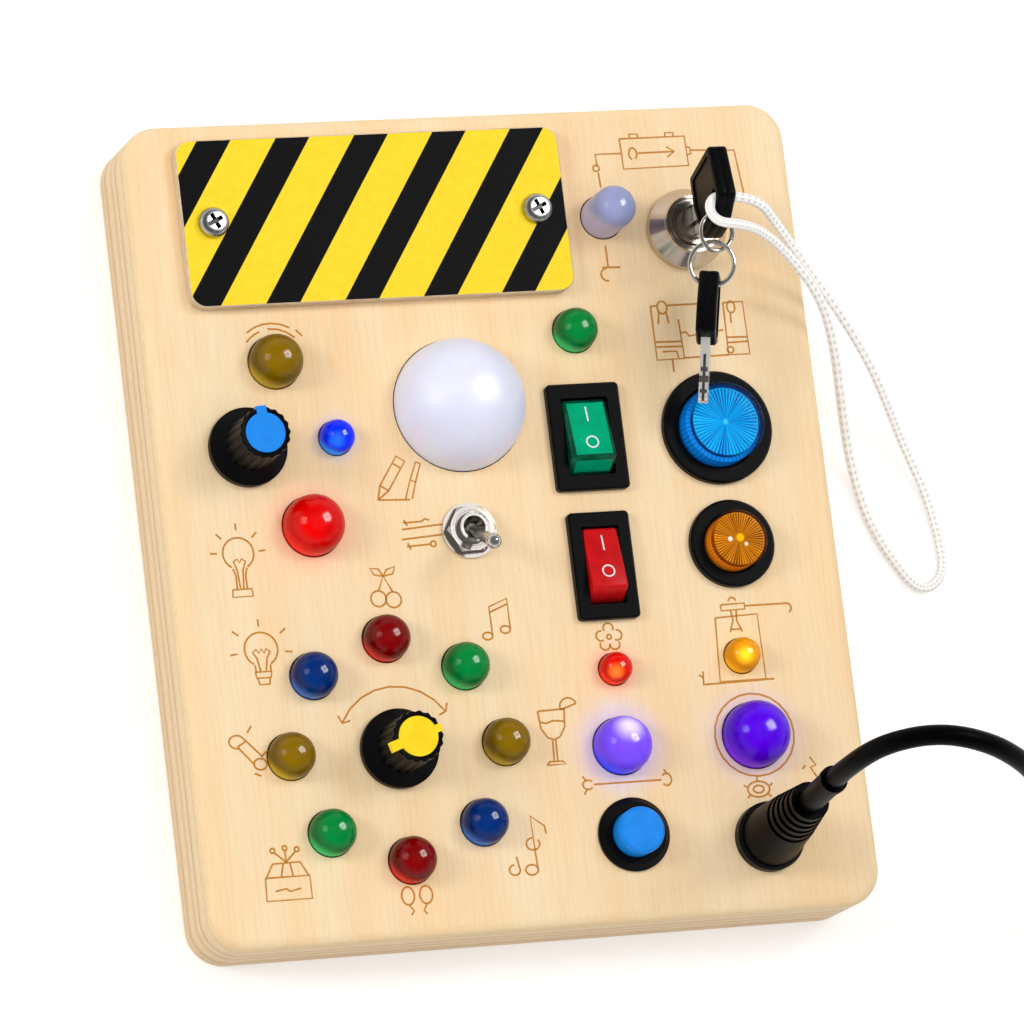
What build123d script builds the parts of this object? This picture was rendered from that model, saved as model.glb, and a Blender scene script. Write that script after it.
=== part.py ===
from build123d import *
import math
import os

# Wooden busy board, lying on its back: X to the board's right, Y to its top, Z out of its face.
# Millimetres. The origin is the middle of the back face.

# ---------------------------------------------------------------- the wooden body
board_width = 150.0
board_height = 178.0
front_thickness = 3.0
back_thickness = 3.0
frame_wall = 7.0
corner_radius = 8.0
inner_corner_radius = 1.0
front_edge_radius = 2.5
back_edge_radius = 0.8

# how deep each kind of switch reaches below the face
rocker_body_depth = 13.0
button_body_depth = 13.0
lock_body_depth = 15.6
socket_body_depth = 14.0
room_behind = 2.4             # between the deepest of them and the back panel

deepest = max(rocker_body_depth, button_body_depth, lock_body_depth, socket_body_depth)
frame_depth = deepest - front_thickness + room_behind
floor_z = back_thickness
under_z = floor_z + frame_depth
face_z = under_z + front_thickness

# ---------------------------------------------------------------- clearances
seat_clearance = 0.15     # a fixed piece in its hole
shaft_clearance = 0.05    # radial, a shaft in its bore
running_gap = 0.3         # between pieces that move past each other
slide_clearance = 0.25    # radial, a button in its bezel
cut_margin = 1.0          # how far a cutting tool runs past what it cuts


def place(share_x, share_y):
    """A place on the face, as shares of the board's width and height from its middle."""
    return share_x * board_width, share_y * board_height


# ---------------------------------------------------------------- sign plate
plate_height = 36.6
plate_left_margin = 10.4      # from the board's edge
plate_top_margin = 4.3
plate_lamp_gap = 4.2          # from the lavender lamp on its right
plate_thickness = 3.0
plate_corner_radius = 3.5
plate_edge_chamfer = 0.25
plate_screw_margin = 6.7       # from the plate's ends
plate_screw_head_radius = 3.3
plate_screw_head_height = 2.2
plate_screw_radius = 1.45
plate_screw_end = 0.5         # its end below the front panel
plate_screw_turn = 25.0       # degrees, of the cross recess
cross_length = 3.6
cross_width = 0.9
cross_depth = 1.3
head_round_share = 0.7        # of the head's height

# ---------------------------------------------------------------- screws in the back
back_screw_radius = 1.2
back_screw_length = 12.0
back_screw_head_radius = 2.3
back_screw_head_depth = 1.3
back_screw_margin = 16.0      # from the board's ends
back_cross_length = 2.6
back_cross_width = 0.7
back_cross_depth = 0.9

# ---------------------------------------------------------------- round lamps
lamp_stem = 4.0           # below the panel
lamp_flange_margin = 0.8
lamp_flange_thickness = 1.0
lead_length = 4.0
lead_width = 0.6
lead_spacing = 2.54

ring_radius = 23.8
ring_bottom_margin = 16.4     # from the board's edge to the lowest lamp
ring_x = -0.1993 * board_width
ring_y = -board_height / 2 + ring_bottom_margin + ring_radius
ring_count = 8
ring_lamp_diameter = 9.9
ring_lamp_lift = 1.8      # the dome's centre above the face

# name: place, diameter, height of the dome's centre above the face
single_lamps = {
    "olive_lamp": (place(-0.3140, 0.2028), 11.4, 2.0),
    "small_blue_lamp": (place(-0.2367, 0.1067), 7.4, 1.6),
    "red_lamp": (place(-0.2867, 0.0011), 13.0, 2.0),
    "white_dome_lamp": (place(-0.0487, 0.1388), 28.8, 0.2),
    "green_lamp": (place(0.1380, 0.2230), 9.4, 1.8),
    "lavender_bullet_lamp": (place(0.2020, 0.3629), 9.4, 8.6),
    "small_red_lamp": (place(0.1353, -0.1944), 6.9, 1.6),
    "small_yellow_lamp": (place(0.3287, -0.1882), 7.5, 1.6),
    "blue_violet_lamp": (place(0.1307, -0.2882), 12.3, 2.0),
    "purple_lamp": (place(0.3333, -0.2860), 14.3, 2.2),
}

# ---------------------------------------------------------------- knobs and their potentiometers
blue_knob_x, blue_knob_y = place(-0.3693, 0.1000)
blue_pointer_angle = 4.0      # degrees, anticlockwise from the board's top
yellow_pointer_angle = 108.0
knob_skirt_radius = 8.5
knob_skirt_height = 2.0
knob_foot_radius = 5.9
knob_foot_height = 4.0
knob_top_radius = 5.2
knob_height = 15.0
knob_flute_count = 18
knob_flute_radius = 0.55
knob_flute_offset = 0.2       # of a flute's axis outside the knob's side
knob_flute_start = 0.8        # above the knob's foot
knob_cavity_radius = 5.6
knob_cavity_height = 3.0
cap_radius = 4.3
cap_thickness = 1.5
cap_proud = 0.2
cap_tab_width = 2.2
blue_tab_reach = 5.8
yellow_tab_reach = 6.5
yellow_notch_reach = 5.5
yellow_notch_width = 1.7
shaft_radius = 3.0
shaft_top = 12.4              # above the face
shaft_flat_depth = 0.5
pot_radius = 8.0
pot_depth = 8.5
pot_floor = 2.0
pot_terminal_width = 11.2
pot_terminal_reach = 3.0
pot_terminal_thickness = 2.0
bush_radius = 3.5
bush_top = 2.6
pot_nut_flats = 9.0
pot_nut_thickness = 1.6

# ---------------------------------------------------------------- toggle switch
toggle_x, toggle_y = place(-0.0560, -0.0152)
toggle_body_width = 8.0
toggle_body_length = 13.0
toggle_body_depth = 9.0
toggle_bush_radius = 3.1
toggle_bush_top = 4.2
toggle_bore_radius = 2.45
toggle_bore_depth = 3.0       # below the face
toggle_pivot_height = 1.6
toggle_pin_radius = 0.6
toggle_tilt = 22.0
toggle_washer_radius = 6.0
toggle_washer_thickness = 0.8
toggle_nut_flats = 9.6
toggle_nut_thickness = 2.0
toggle_nut_chamfer = 0.7
lever_length = 15.0
lever_root_radius = 0.9
lever_end_radius = 1.4
lever_ball_radius = 1.75
lever_pivot_radius = 1.5
lever_tail = 2.6

# ---------------------------------------------------------------- rocker switches
rocker_x, green_rocker_y = place(0.1360, 0.0904)
red_rocker_y = place(0, -0.0685)[1]
green_bezel_width = 16.4
red_bezel_width = 13.8
rocker_bezel_length = 23.4
rocker_bezel_thickness = 2.0
green_opening_width = 10.6
red_opening_width = 8.4
rocker_opening_length = 17.0
rocker_wall = 1.4
rocker_bezel_corner = 1.0
rocker_bezel_chamfer = 0.4
rocker_pivot_drop = 4.0       # below the bezel's top
rocker_pin_radius = 1.0
rocker_crown = 5.6            # the rocker's top above its pivot
rocker_top_length = 12.4
rocker_keel = 2.5             # the rocker's bottom below its pivot
rocker_shoulder = 1.0         # where its ends are longest, above the pivot
rocker_end_taper = 0.6
rocker_edge_radius = 0.5
rocker_tilt = 14.0

# ---------------------------------------------------------------- lens buttons and push button
button_bezel_thickness = 2.0
button_wall = 1.0
button_flange_thickness = 2.0
button_flange_margin = 0.7
button_step_depth = 3.5       # below the face, where the bore widens
button_floor_thickness = 1.5
button_travel = 2.5
button_spring_room = 3.0      # left under the cap when it is pressed
button_skirt_depth = button_body_depth - button_floor_thickness - button_spring_room - button_travel
ring_nut_margin = 1.6
ring_nut_thickness = 2.5

# name: place, bezel diameter, bezel chamfer, cap diameter, cap height above the face, cap edge radius
buttons = {
    "blue_lens": (place(0.3347, 0.0933), 24.8, 0.5, 18.0, 7.5, 1.2),
    "amber_lens": (place(0.3347, -0.0506), 19.1, 0.5, 13.0, 6.6, 0.9),
    "push_button": (place(0.1333, -0.3961), 15.9, 1.2, 10.2, 6.4, 0.8),
}

# ---------------------------------------------------------------- key lock
lock_x, lock_y = place(0.3260, 0.3416)
lock_flange_radius = 8.8
lock_flange_height = 2.2
lock_collar_radius = 6.2
lock_collar_height = 6.0
lock_body_radius = 6.0
lock_floor_thickness = 1.2
lock_nut_flats = 15.0
lock_nut_thickness = 3.0
core_radius = 4.8
core_shoulder_height = 7.4
core_boss_radius = 3.7
core_boss_height = 9.0

# ---------------------------------------------------------------- keys, rings
key_thickness = 4.3
key_shoulder_height = 12.5    # the inserted key's head above the face
blade_width = 6.0
blade_thickness = 2.0
blade_length = 12.0
blade_clearance = 0.15
key_corner_radius = 1.0
# the head's outline: across the key, then away from the blade
key_outline = [(-6.3, 4.0), (1.5, 0.2), (8.6, 0.0), (12.2, 13.9), (0.6, 16.5), (-4.8, 10.0)]
slot_low = (-1.6, 8.6)        # the middle of the slot's round end by the ring
slot_high = (1.0, 13.1)       # and of its far end
slot_radius = 1.85
relief_across = 4.4           # the shallow panel in each broad side of the head
relief_along = 8.0
relief_depth = 0.4
relief_place = (5.4, 7.2)
blade_root = 5.0              # inside the head
blade_tip_chamfer = 1.0
blade_notch_width = 1.2
blade_notch_height = 1.4
# each cut in the blade's edges: how far below the head, and on which side
blade_notches = [(4.0, 1), (6.6, -1), (8.8, 1)]
blade_groove_depth = 0.3
blade_groove_width = 1.0
blade_groove_place = 0.8
ring_wire_radius = 0.5

# the chain hangs from the key's slot: from there to the small ring's middle,
# from that to the large ring's middle, and each ring's roll about its own step
small_ring_step = (-0.3, -3.9, -0.9)
large_ring_step = (-1.5, -6.65, -1.3)
large_ring_radius = 4.75
small_ring_roll = 12.0
large_ring_roll = -22.0
spare_direction = (0.056, 0.937, 0.335)   # from the spare key's tip to its head
spare_lean = (-0.392, -0.297, 0.871)      # across the spare key, pointing up

# ---------------------------------------------------------------- power socket and plug
socket_edge_margin = 15.8     # from the board's edge
socket_x = 0.3347 * board_width
socket_y = -board_height / 2 + socket_edge_margin
socket_bezel_radius = 7.5
socket_bezel_height = 3.0
socket_body_radius = 5.5
socket_bezel_chamfer = 0.6
socket_floor_thickness = 1.5
socket_nut_flats = 13.6
socket_nut_thickness = 2.5
center_pin_radius = 1.0
barrel_radius = 2.75
barrel_bore_radius = 1.25
barrel_length = 10.0
barrel_bore_margin = 1.5      # the bore stops short of the body by this
center_pin_drop = 2.0         # below the bezel's top
plug_lean = 6.5               # degrees, towards the board's top
plug_foot_radius = 6.6
plug_foot_height = 1.0
plug_cone_radius = 5.6
plug_cone_length = 13.0
plug_neck_radius = 4.2
plug_neck_length = 25.0
plug_rib_count = 5
plug_rib_depth = 0.45
plug_rib_share = 0.35         # of the ribs' pitch that is groove
sleeve_radius = 2.75
sleeve_length = 15.5
sleeve_lip_radius = 3.0
sleeve_lip_length = 1.6

# ---------------------------------------------------------------- power cord
cord_diameter = 4.4
arc_share = 0.45              # of the shorter run, cut off at each arc
# route from the sleeve's end, heights measured from the face
cord_route = [
    (50.2, -67.37, 54.17), (54.6, -65.2, 64.2), (64.0, -64.8, 70.2), (75.0, -67.4, 69.8),
    (85.2, -71.2, 63.2), (93.4, -74.8, 52.0), (101.0, -78.0, 36.8), (109.4, -81.6, 20.4),
    (119.6, -86.0, 5.5), (131.5, -90.8, -5.0), (142.5, -93.8, -8.9), (152.5, -95.0, -9.8),
]
coil_x = 156.0
coil_y = -71.0
coil_inner_radius = 20.2
coil_outer_radius = 29.4
coil_layers_height = 8.8
coil_top_radius = 26.8
coil_height = 13.4
tail_length = 34.0
usb_body_width = 15.6
usb_body_height = 8.0
usb_body_length = 24.0
usb_shell_width = 12.0
usb_shell_height = 4.5
usb_shell_length = 12.0
usb_shell_wall = 0.4
usb_shell_root = 4.0          # inside the moulded body
usb_edge_radius = 1.5
usb_tongue_height = 1.9

# ---------------------------------------------------------------- lanyard
lanyard_diameter = 2.4
lanyard_end_gap = 0.2
# from the key's slot round the loop and back, heights measured from the face
lanyard_route = [
    (44.3, 61.4, 25.6), (43.9, 57.2, 27.4), (47.4, 55.0, 28.6), (54.8, 55.5, 25.0),
    (65.5, 50.3, 16.4), (75.4, 43.0, 7.8), (80.5, 33.0, -1.0), (84.0, 22.0, -10.5),
    (87.2, 11.0, -18.0), (90.0, -1.0, -19.8), (94.6, -10.6, -19.8), (100.2, -18.6, -19.8),
    (106.6, -15.2, -19.8), (106.3, -5.4, -19.8), (104.2, 4.5, -19.0), (99.6, 14.5, -16.6),
    (95.4, 22.6, -12.0), (89.4, 31.6, -5.0), (81.4, 41.0, 1.6), (72.4, 50.0, 8.6),
    (64.0, 56.9, 17.0), (57.2, 61.9, 24.1),
]

# ---------------------------------------------------------------- circuit board
board_x = -0.1440 * board_width
board_wall_gap = 1.6          # from the frame's wall
board_length = 62.0
board_breadth = 28.0
board_thickness = 1.6
standoff_height = 4.0
standoff_radius = 2.4
standoff_pin_radius = 1.4
standoff_pin_depth = 2.0
standoff_cap_height = 1.0
standoff_margin = 3.5
# chips and terminals: width, length, height, and place from the circuit board's middle
board_components = [
    (7.0, 7.0, 1.6, -6.0, 2.0), (5.0, 4.0, 1.5, 8.0, -5.0), (10.0, 5.0, 5.0, 20.0, 8.0),
    (10.0, 5.0, 5.0, -20.0, -8.0), (5.5, 5.5, 5.4, 20.0, -6.0),
]

parts = {}
on_base = (Align.CENTER, Align.CENTER, Align.MIN)
under_top = (Align.CENTER, Align.CENTER, Align.MAX)


# ---------------------------------------------------------------- shapes used again and again
def rod(radius, bottom, top, x=0.0, y=0.0):
    """A round solid standing along Z between two heights."""
    return Pos(x, y, bottom) * Cylinder(radius, top - bottom, align=on_base)


def block(width, length, bottom, top, x=0.0, y=0.0):
    """A rectangular solid standing on a height, centred on a place."""
    return Pos(x, y, bottom) * Box(width, length, top - bottom, align=on_base)


def slab(width, length, radius, bottom, top, x=0.0, y=0.0):
    """A plate with rounded corners."""
    return Pos(x, y, bottom) * extrude(RectangleRounded(width, length, radius), top - bottom)


def hexagon(flats, bottom, top, x=0.0, y=0.0):
    """A hexagonal solid of a width across flats."""
    outline = RegularPolygon(flats / 2, 6, major_radius=False)
    return Pos(x, y, bottom) * extrude(outline, top - bottom)


def turned(points, x=0.0, y=0.0, z=0.0):
    """A solid turned about Z from (radius, height) points."""
    outline = make_face(Polyline([(r, 0, h) for r, h in points], close=True))
    return Pos(x, y, z) * revolve(outline, Axis.Z)


def ring_nut(outer_radius, inner_radius, bottom, top, x, y):
    """A round nut with a plain bore."""
    bore = rod(inner_radius, bottom - cut_margin, top + cut_margin, x, y)
    return rod(outer_radius, bottom, top, x, y) - bore


def arc_radii(points, share):
    """The largest arcs that the runs on both sides of each corner leave room for."""
    radii = []
    for before, corner, after in zip(points, points[1:], points[2:]):
        one = Vector(*corner) - Vector(*before)
        two = Vector(*after) - Vector(*corner)
        half_turn = math.radians(one.get_angle(two)) / 2
        radii.append(share * min(one.length, two.length) / math.tan(half_turn))
    return radii


def tube(points, radius):
    """A cord's tube: straight runs joined by tangent arcs."""
    radii = arc_radii(points, arc_share)
    path = FilletPolyline(*points, radius=radii)
    section = Plane(path @ 0, z_dir=path % 0) * Circle(radius)
    return sweep(section, path=path), path, radii


# ---------------------------------------------------------------- lamps
def lamp_hole_radius(diameter):
    return diameter / 2 + seat_clearance


def lamp(x, y, diameter, lift):
    """A lamp: dome, straight stem, flange under the panel and two leads."""
    radius = diameter / 2
    stem_bottom = under_z - lamp_stem
    dome_center = face_z + lift
    line = [
        (0, stem_bottom), (radius, stem_bottom), (radius, dome_center),
    ]
    side = Polyline([(r, 0, h) for r, h in line])
    dome = CenterArc((0, 0, 0), radius, 0, 90)
    dome = Pos(0, 0, dome_center) * (Rot(90, 0, 0) * dome)
    axis = Line((0, 0, dome_center + radius), (0, 0, stem_bottom))
    body = revolve(make_face(Curve() + [side, dome, axis]), Axis.Z)
    flange_radius = radius + lamp_flange_margin
    flange = rod(flange_radius, under_z - lamp_flange_thickness, under_z)
    solid = body + flange
    for side_sign in (-1, 1):
        lead_x = side_sign * lead_spacing / 2
        solid += block(lead_width, lead_width, stem_bottom - lead_length, stem_bottom, lead_x)
    return Pos(x, y, 0) * solid


ring_places = []
for i in range(ring_count):
    angle = math.radians(90 - 360 / ring_count * i)
    ring_places.append((ring_x + ring_radius * math.cos(angle), ring_y + ring_radius * math.sin(angle)))

for i, (x, y) in enumerate(ring_places):
    parts[f"ring_lamp_{i + 1}"] = lamp(x, y, ring_lamp_diameter, ring_lamp_lift)
for name, ((x, y), diameter, lift) in single_lamps.items():
    parts[name] = lamp(x, y, diameter, lift)


# ---------------------------------------------------------------- knobs
pot_hole_radius = bush_radius + seat_clearance
shaft_bore_radius = shaft_radius + shaft_clearance
shaft_bottom = under_z - pot_depth + pot_floor


def potentiometer(x, y):
    """A potentiometer: round body under the panel, threaded bush through it."""
    bottom = under_z - pot_depth
    top = face_z + bush_top
    solid = rod(pot_radius, bottom, under_z)
    reach = pot_radius + pot_terminal_reach
    solid += block(pot_terminal_width, reach, bottom, bottom + pot_terminal_thickness, 0, -reach / 2)
    solid += rod(bush_radius, under_z, top)
    solid -= rod(shaft_bore_radius, shaft_bottom - running_gap, top + cut_margin)
    return Pos(x, y, 0) * solid


def shaft(x, y):
    """A round shaft with a flat along its upper end."""
    top = face_z + shaft_top
    flat_bottom = face_z + knob_cavity_height
    solid = rod(shaft_radius, shaft_bottom, top)
    flat_y = shaft_radius * 1.5 - shaft_flat_depth
    flat = block(shaft_radius * 2, shaft_radius, flat_bottom, top + cut_margin, 0, flat_y)
    return Pos(x, y, 0) * (solid - flat)


def knob(x, y, angle, reaches):
    """A fluted knob on the shaft, with a recess for its cap and the cap's tabs."""
    bottom = face_z + running_gap
    top = face_z + knob_height
    solid = turned([
        (0, bottom), (knob_skirt_radius, bottom), (knob_skirt_radius, face_z + knob_skirt_height),
        (knob_foot_radius, face_z + knob_foot_height), (knob_top_radius, top), (0, top),
    ])
    flute_length = knob_height - knob_foot_height - knob_flute_start + cut_margin
    taper = math.degrees(math.atan2(knob_foot_radius - knob_top_radius, knob_height - knob_foot_height))
    flute = Cylinder(knob_flute_radius, flute_length, align=under_top)
    flute = Pos(knob_top_radius + knob_flute_offset, 0, top + cut_margin) * Rot(0, -taper, 0) * flute
    for i in range(knob_flute_count):
        solid -= Rot(0, 0, 360 / knob_flute_count * i) * flute
    solid -= rod(knob_cavity_radius, bottom - cut_margin, face_z + knob_cavity_height)
    bore_top = face_z + shaft_top + running_gap
    solid -= rod(shaft_bore_radius, bottom, bore_top)
    recess_bottom = top + cap_proud - cap_thickness
    solid -= rod(cap_radius + seat_clearance, recess_bottom, top + cut_margin)
    for turn, width, reach in reaches:
        slot_width = width + 2 * seat_clearance
        slot_y = knob_skirt_radius / 2
        slot = block(slot_width, knob_skirt_radius, recess_bottom, top + cut_margin, 0, slot_y)
        solid -= Rot(0, 0, turn) * slot
    return Pos(x, y, 0) * Rot(0, 0, angle) * solid


def knob_cap(x, y, angle, reaches):
    """The coloured cap: a disc with its pointer tab."""
    top = face_z + knob_height + cap_proud
    bottom = top - cap_thickness
    solid = rod(cap_radius, bottom, top)
    for turn, width, reach in reaches:
        solid += Rot(0, 0, turn) * block(width, reach, bottom, top, 0, reach / 2)
    return Pos(x, y, 0) * Rot(0, 0, angle) * solid


blue_tabs = [(0, cap_tab_width, blue_tab_reach)]
yellow_tabs = [(0, cap_tab_width, yellow_tab_reach), (180, yellow_notch_width, yellow_notch_reach)]
knobs = [
    ("blue_knob", "dimmer", blue_knob_x, blue_knob_y, blue_pointer_angle, blue_tabs),
    ("yellow_knob", "selector", ring_x, ring_y, yellow_pointer_angle, yellow_tabs),
]
panel_nuts = []
for name, works, x, y, angle, tabs in knobs:
    parts[name] = knob(x, y, angle, tabs)
    parts[f"{name}_cap"] = knob_cap(x, y, angle, tabs)
    parts[f"{works}_shaft"] = shaft(x, y)
    parts[f"{works}_potentiometer"] = potentiometer(x, y)
    nut = hexagon(pot_nut_flats, face_z, face_z + pot_nut_thickness, x, y)
    panel_nuts.append(nut - rod(bush_radius + shaft_clearance, under_z, face_z + bush_top, x, y))


# ---------------------------------------------------------------- toggle switch
pivot_z = face_z + toggle_pivot_height
toggle_top = face_z + toggle_bush_top
toggle_bottom = under_z - toggle_body_depth
toggle = block(toggle_body_width, toggle_body_length, toggle_bottom, under_z, toggle_x, toggle_y)
toggle += rod(toggle_bush_radius, under_z, toggle_top, toggle_x, toggle_y)
toggle -= rod(toggle_bore_radius, face_z - toggle_bore_depth, toggle_top + cut_margin, toggle_x, toggle_y)
pin_hole = Cylinder(toggle_pin_radius + shaft_clearance, toggle_bush_radius * 2 + cut_margin)
parts["toggle_switch"] = toggle - Pos(toggle_x, toggle_y, pivot_z) * Rot(0, 90, 0) * pin_hole

washer_top = face_z + toggle_washer_thickness
thread_radius = toggle_bush_radius + shaft_clearance
washer = ring_nut(toggle_washer_radius, thread_radius, face_z, washer_top, toggle_x, toggle_y)
nut_top = washer_top + toggle_nut_thickness
nut_corner_radius = toggle_nut_flats / math.sqrt(3)
nut_chamfer_z = nut_top - toggle_nut_chamfer
nut_limit = turned([
    (0, washer_top), (nut_corner_radius, washer_top), (nut_corner_radius, nut_chamfer_z),
    (nut_corner_radius - toggle_nut_chamfer, nut_top), (0, nut_top)], toggle_x, toggle_y)
toggle_nut = hexagon(toggle_nut_flats, washer_top, nut_top, toggle_x, toggle_y) & nut_limit
toggle_nut -= rod(thread_radius, face_z, nut_top + cut_margin, toggle_x, toggle_y)
parts["toggle_nut"] = Compound([washer, toggle_nut])

lever = Cone(lever_root_radius, lever_end_radius, lever_length, align=on_base)
lever += Pos(0, 0, lever_length) * Sphere(lever_ball_radius)
lever += Sphere(lever_pivot_radius)
lever += Cylinder(lever_root_radius, lever_tail, align=under_top)
lever += Rot(0, 90, 0) * Cylinder(toggle_pin_radius, toggle_bore_radius + toggle_bush_radius)
parts["toggle_lever"] = Pos(toggle_x, toggle_y, pivot_z) * Rot(toggle_tilt, 0, 0) * lever


# ---------------------------------------------------------------- rocker switches
def rocker_body_size(opening_width):
    return opening_width + 2 * rocker_wall, rocker_opening_length + 2 * rocker_wall


def rocker_housing(y, bezel_width, opening_width):
    """A snap-in housing: bezel on the face, box under the panel, well for the rocker."""
    bezel_top = face_z + rocker_bezel_thickness
    width, length = rocker_body_size(opening_width)
    bezel = slab(bezel_width, rocker_bezel_length, rocker_bezel_corner, face_z, bezel_top)
    bezel = chamfer(bezel.faces().sort_by(Axis.Z)[-1].edges(), rocker_bezel_chamfer)
    solid = bezel + block(width, length, face_z - rocker_body_depth, face_z)
    well_bottom = face_z - rocker_body_depth + rocker_wall
    solid -= block(opening_width, rocker_opening_length, well_bottom, bezel_top + cut_margin)
    pin_hole = Cylinder(rocker_pin_radius + shaft_clearance, width + cut_margin)
    solid -= Pos(0, 0, bezel_top - rocker_pivot_drop) * Rot(0, 90, 0) * pin_hole
    return Pos(rocker_x, y, 0) * solid


def rocker(y, opening_width):
    """A rocker with a flat crown, sloping ends and a pin at each side."""
    half_top = rocker_top_length / 2
    half_waist = rocker_opening_length / 2 - running_gap
    half_keel = half_waist - rocker_end_taper
    outline = make_face(Polyline([
        (0, -half_top, rocker_crown), (0, half_top, rocker_crown), (0, half_waist, rocker_shoulder),
        (0, half_keel, -rocker_keel), (0, -half_keel, -rocker_keel), (0, -half_waist, rocker_shoulder),
    ], close=True))
    width = opening_width - 2 * running_gap
    solid = extrude(outline, width / 2, dir=(1, 0, 0), both=True)
    crown_edges = solid.faces().sort_by(Axis.Z)[-1].edges()
    solid = fillet(crown_edges, rocker_edge_radius)
    solid += Rot(0, 90, 0) * Cylinder(rocker_pin_radius, opening_width + 2 * rocker_wall)
    pin_z = face_z + rocker_bezel_thickness - rocker_pivot_drop
    return Pos(rocker_x, y, pin_z) * Rot(-rocker_tilt, 0, 0) * solid


rockers = [
    ("green_rocker", green_rocker_y, green_bezel_width, green_opening_width),
    ("red_rocker", red_rocker_y, red_bezel_width, red_opening_width),
]
for name, y, bezel_width, opening_width in rockers:
    parts[f"{name}_housing"] = rocker_housing(y, bezel_width, opening_width)
    parts[name] = rocker(y, opening_width)


# ---------------------------------------------------------------- buttons
def button_body_radius(cap_diameter):
    return cap_diameter / 2 + button_flange_margin + slide_clearance + button_wall


def button_housing(x, y, bezel_diameter, bezel_chamfer, cap_diameter):
    """A bezel on the face and a cup under it, whose bore widens below a step."""
    bore = cap_diameter / 2 + slide_clearance
    bezel_top = face_z + button_bezel_thickness
    bezel = rod(bezel_diameter / 2, face_z, bezel_top)
    bezel = chamfer(bezel.faces().sort_by(Axis.Z)[-1].edges(), bezel_chamfer)
    bottom = face_z - button_body_depth
    solid = bezel + rod(button_body_radius(cap_diameter), bottom, face_z)
    solid -= rod(bore, bottom + button_floor_thickness, bezel_top + cut_margin)
    solid -= rod(bore + button_flange_margin, bottom + button_floor_thickness, face_z - button_step_depth)
    return Pos(x, y, 0) * solid


def button_cap(x, y, cap_diameter, cap_height, edge_radius):
    """The moving cap: a rounded cylinder with a flange that stops under the step."""
    radius = cap_diameter / 2
    bottom = face_z - button_skirt_depth
    top = face_z + cap_height
    solid = rod(radius, bottom, top)
    solid = fillet(solid.faces().sort_by(Axis.Z)[-1].edges(), edge_radius)
    flange_top = min(bottom + button_flange_thickness, face_z - button_step_depth - running_gap)
    solid += rod(radius + button_flange_margin, bottom, flange_top)
    return Pos(x, y, 0) * solid


for name, ((x, y), bezel_diameter, bezel_chamfer, cap_diameter, cap_height, edge) in buttons.items():
    parts[f"{name}_housing"] = button_housing(x, y, bezel_diameter, bezel_chamfer, cap_diameter)
    parts[name] = button_cap(x, y, cap_diameter, cap_height, edge)
    body_radius = button_body_radius(cap_diameter)
    nut_bottom = under_z - ring_nut_thickness
    nut_bore = body_radius + shaft_clearance
    panel_nuts.append(ring_nut(body_radius + ring_nut_margin, nut_bore, nut_bottom, under_z, x, y))


# ---------------------------------------------------------------- key lock
lock_bottom = face_z - lock_body_depth
core_bottom = lock_bottom + lock_floor_thickness + running_gap
housing = turned([
    (0, lock_bottom), (lock_body_radius, lock_bottom), (lock_body_radius, face_z),
    (lock_flange_radius, face_z), (lock_flange_radius, face_z + lock_flange_height),
    (lock_collar_radius, face_z + lock_collar_height), (0, face_z + lock_collar_height),
], lock_x, lock_y)
lock_bore = core_radius + shaft_clearance
parts["lock_housing"] = housing - rod(
    lock_bore, core_bottom - running_gap, face_z + lock_collar_height + cut_margin, lock_x, lock_y)
core = rod(core_radius, core_bottom, face_z + core_shoulder_height, lock_x, lock_y)
core += rod(core_boss_radius, face_z + core_shoulder_height, face_z + core_boss_height, lock_x, lock_y)
slot_bottom = face_z + key_shoulder_height - blade_length - running_gap
keyway = block(blade_thickness + 2 * blade_clearance, blade_width + 2 * blade_clearance,
               slot_bottom, face_z + core_boss_height + cut_margin, lock_x, lock_y)
parts["lock_core"] = core - keyway
nut = hexagon(lock_nut_flats, under_z - lock_nut_thickness, under_z, lock_x, lock_y)
panel_nuts.append(nut - rod(lock_body_radius + shaft_clearance, floor_z, face_z, lock_x, lock_y))


# ---------------------------------------------------------------- keys
def key_solid():
    """A key standing on its shoulder: across it along Y, blade down, thickness along X."""
    outline = make_face(Polyline([(0, y, z) for y, z in key_outline], close=True))
    head = extrude(outline, key_thickness / 2, dir=(1, 0, 0), both=True)
    head = fillet(head.edges().filter_by(Axis.X), key_corner_radius)
    relief = Box(relief_depth * 2, relief_across, relief_along)
    for side in (-1, 1):
        head -= Pos(side * key_thickness / 2, relief_place[0], relief_place[1]) * relief
    slot_y = slot_high[0] - slot_low[0]
    slot_z = slot_high[1] - slot_low[1]
    slot_length = math.hypot(slot_y, slot_z)
    slot = Box(key_thickness * 2, slot_radius * 2, slot_length)
    for end in (-1, 1):
        slot += Pos(0, 0, end * slot_length / 2) * Rot(0, 90, 0) * Cylinder(slot_radius, key_thickness * 2)
    middle = Pos(0, (slot_low[0] + slot_high[0]) / 2, (slot_low[1] + slot_high[1]) / 2)
    lean = -math.degrees(math.atan2(slot_y, slot_z))
    head -= middle * Rot(lean, 0, 0) * slot
    blade = block(blade_thickness, blade_width, -blade_length, blade_root)
    tip = blade.edges().filter_by(Axis.X).sort_by(Axis.Z)[:2]
    blade = chamfer(tip, blade_tip_chamfer)
    notch = Box(blade_thickness * 2, blade_notch_width, blade_notch_height)
    for drop, side in blade_notches:
        blade -= Pos(0, side * blade_width / 2, -drop) * notch
    groove = Box(blade_groove_depth * 2, blade_groove_width, blade_length)
    blade -= Pos(blade_thickness / 2, blade_groove_place, -blade_length / 2 - blade_groove_depth) * groove
    return head + blade


shoulder_z = face_z + key_shoulder_height
parts["key"] = Pos(lock_x, lock_y, shoulder_z) * key_solid()

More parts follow.
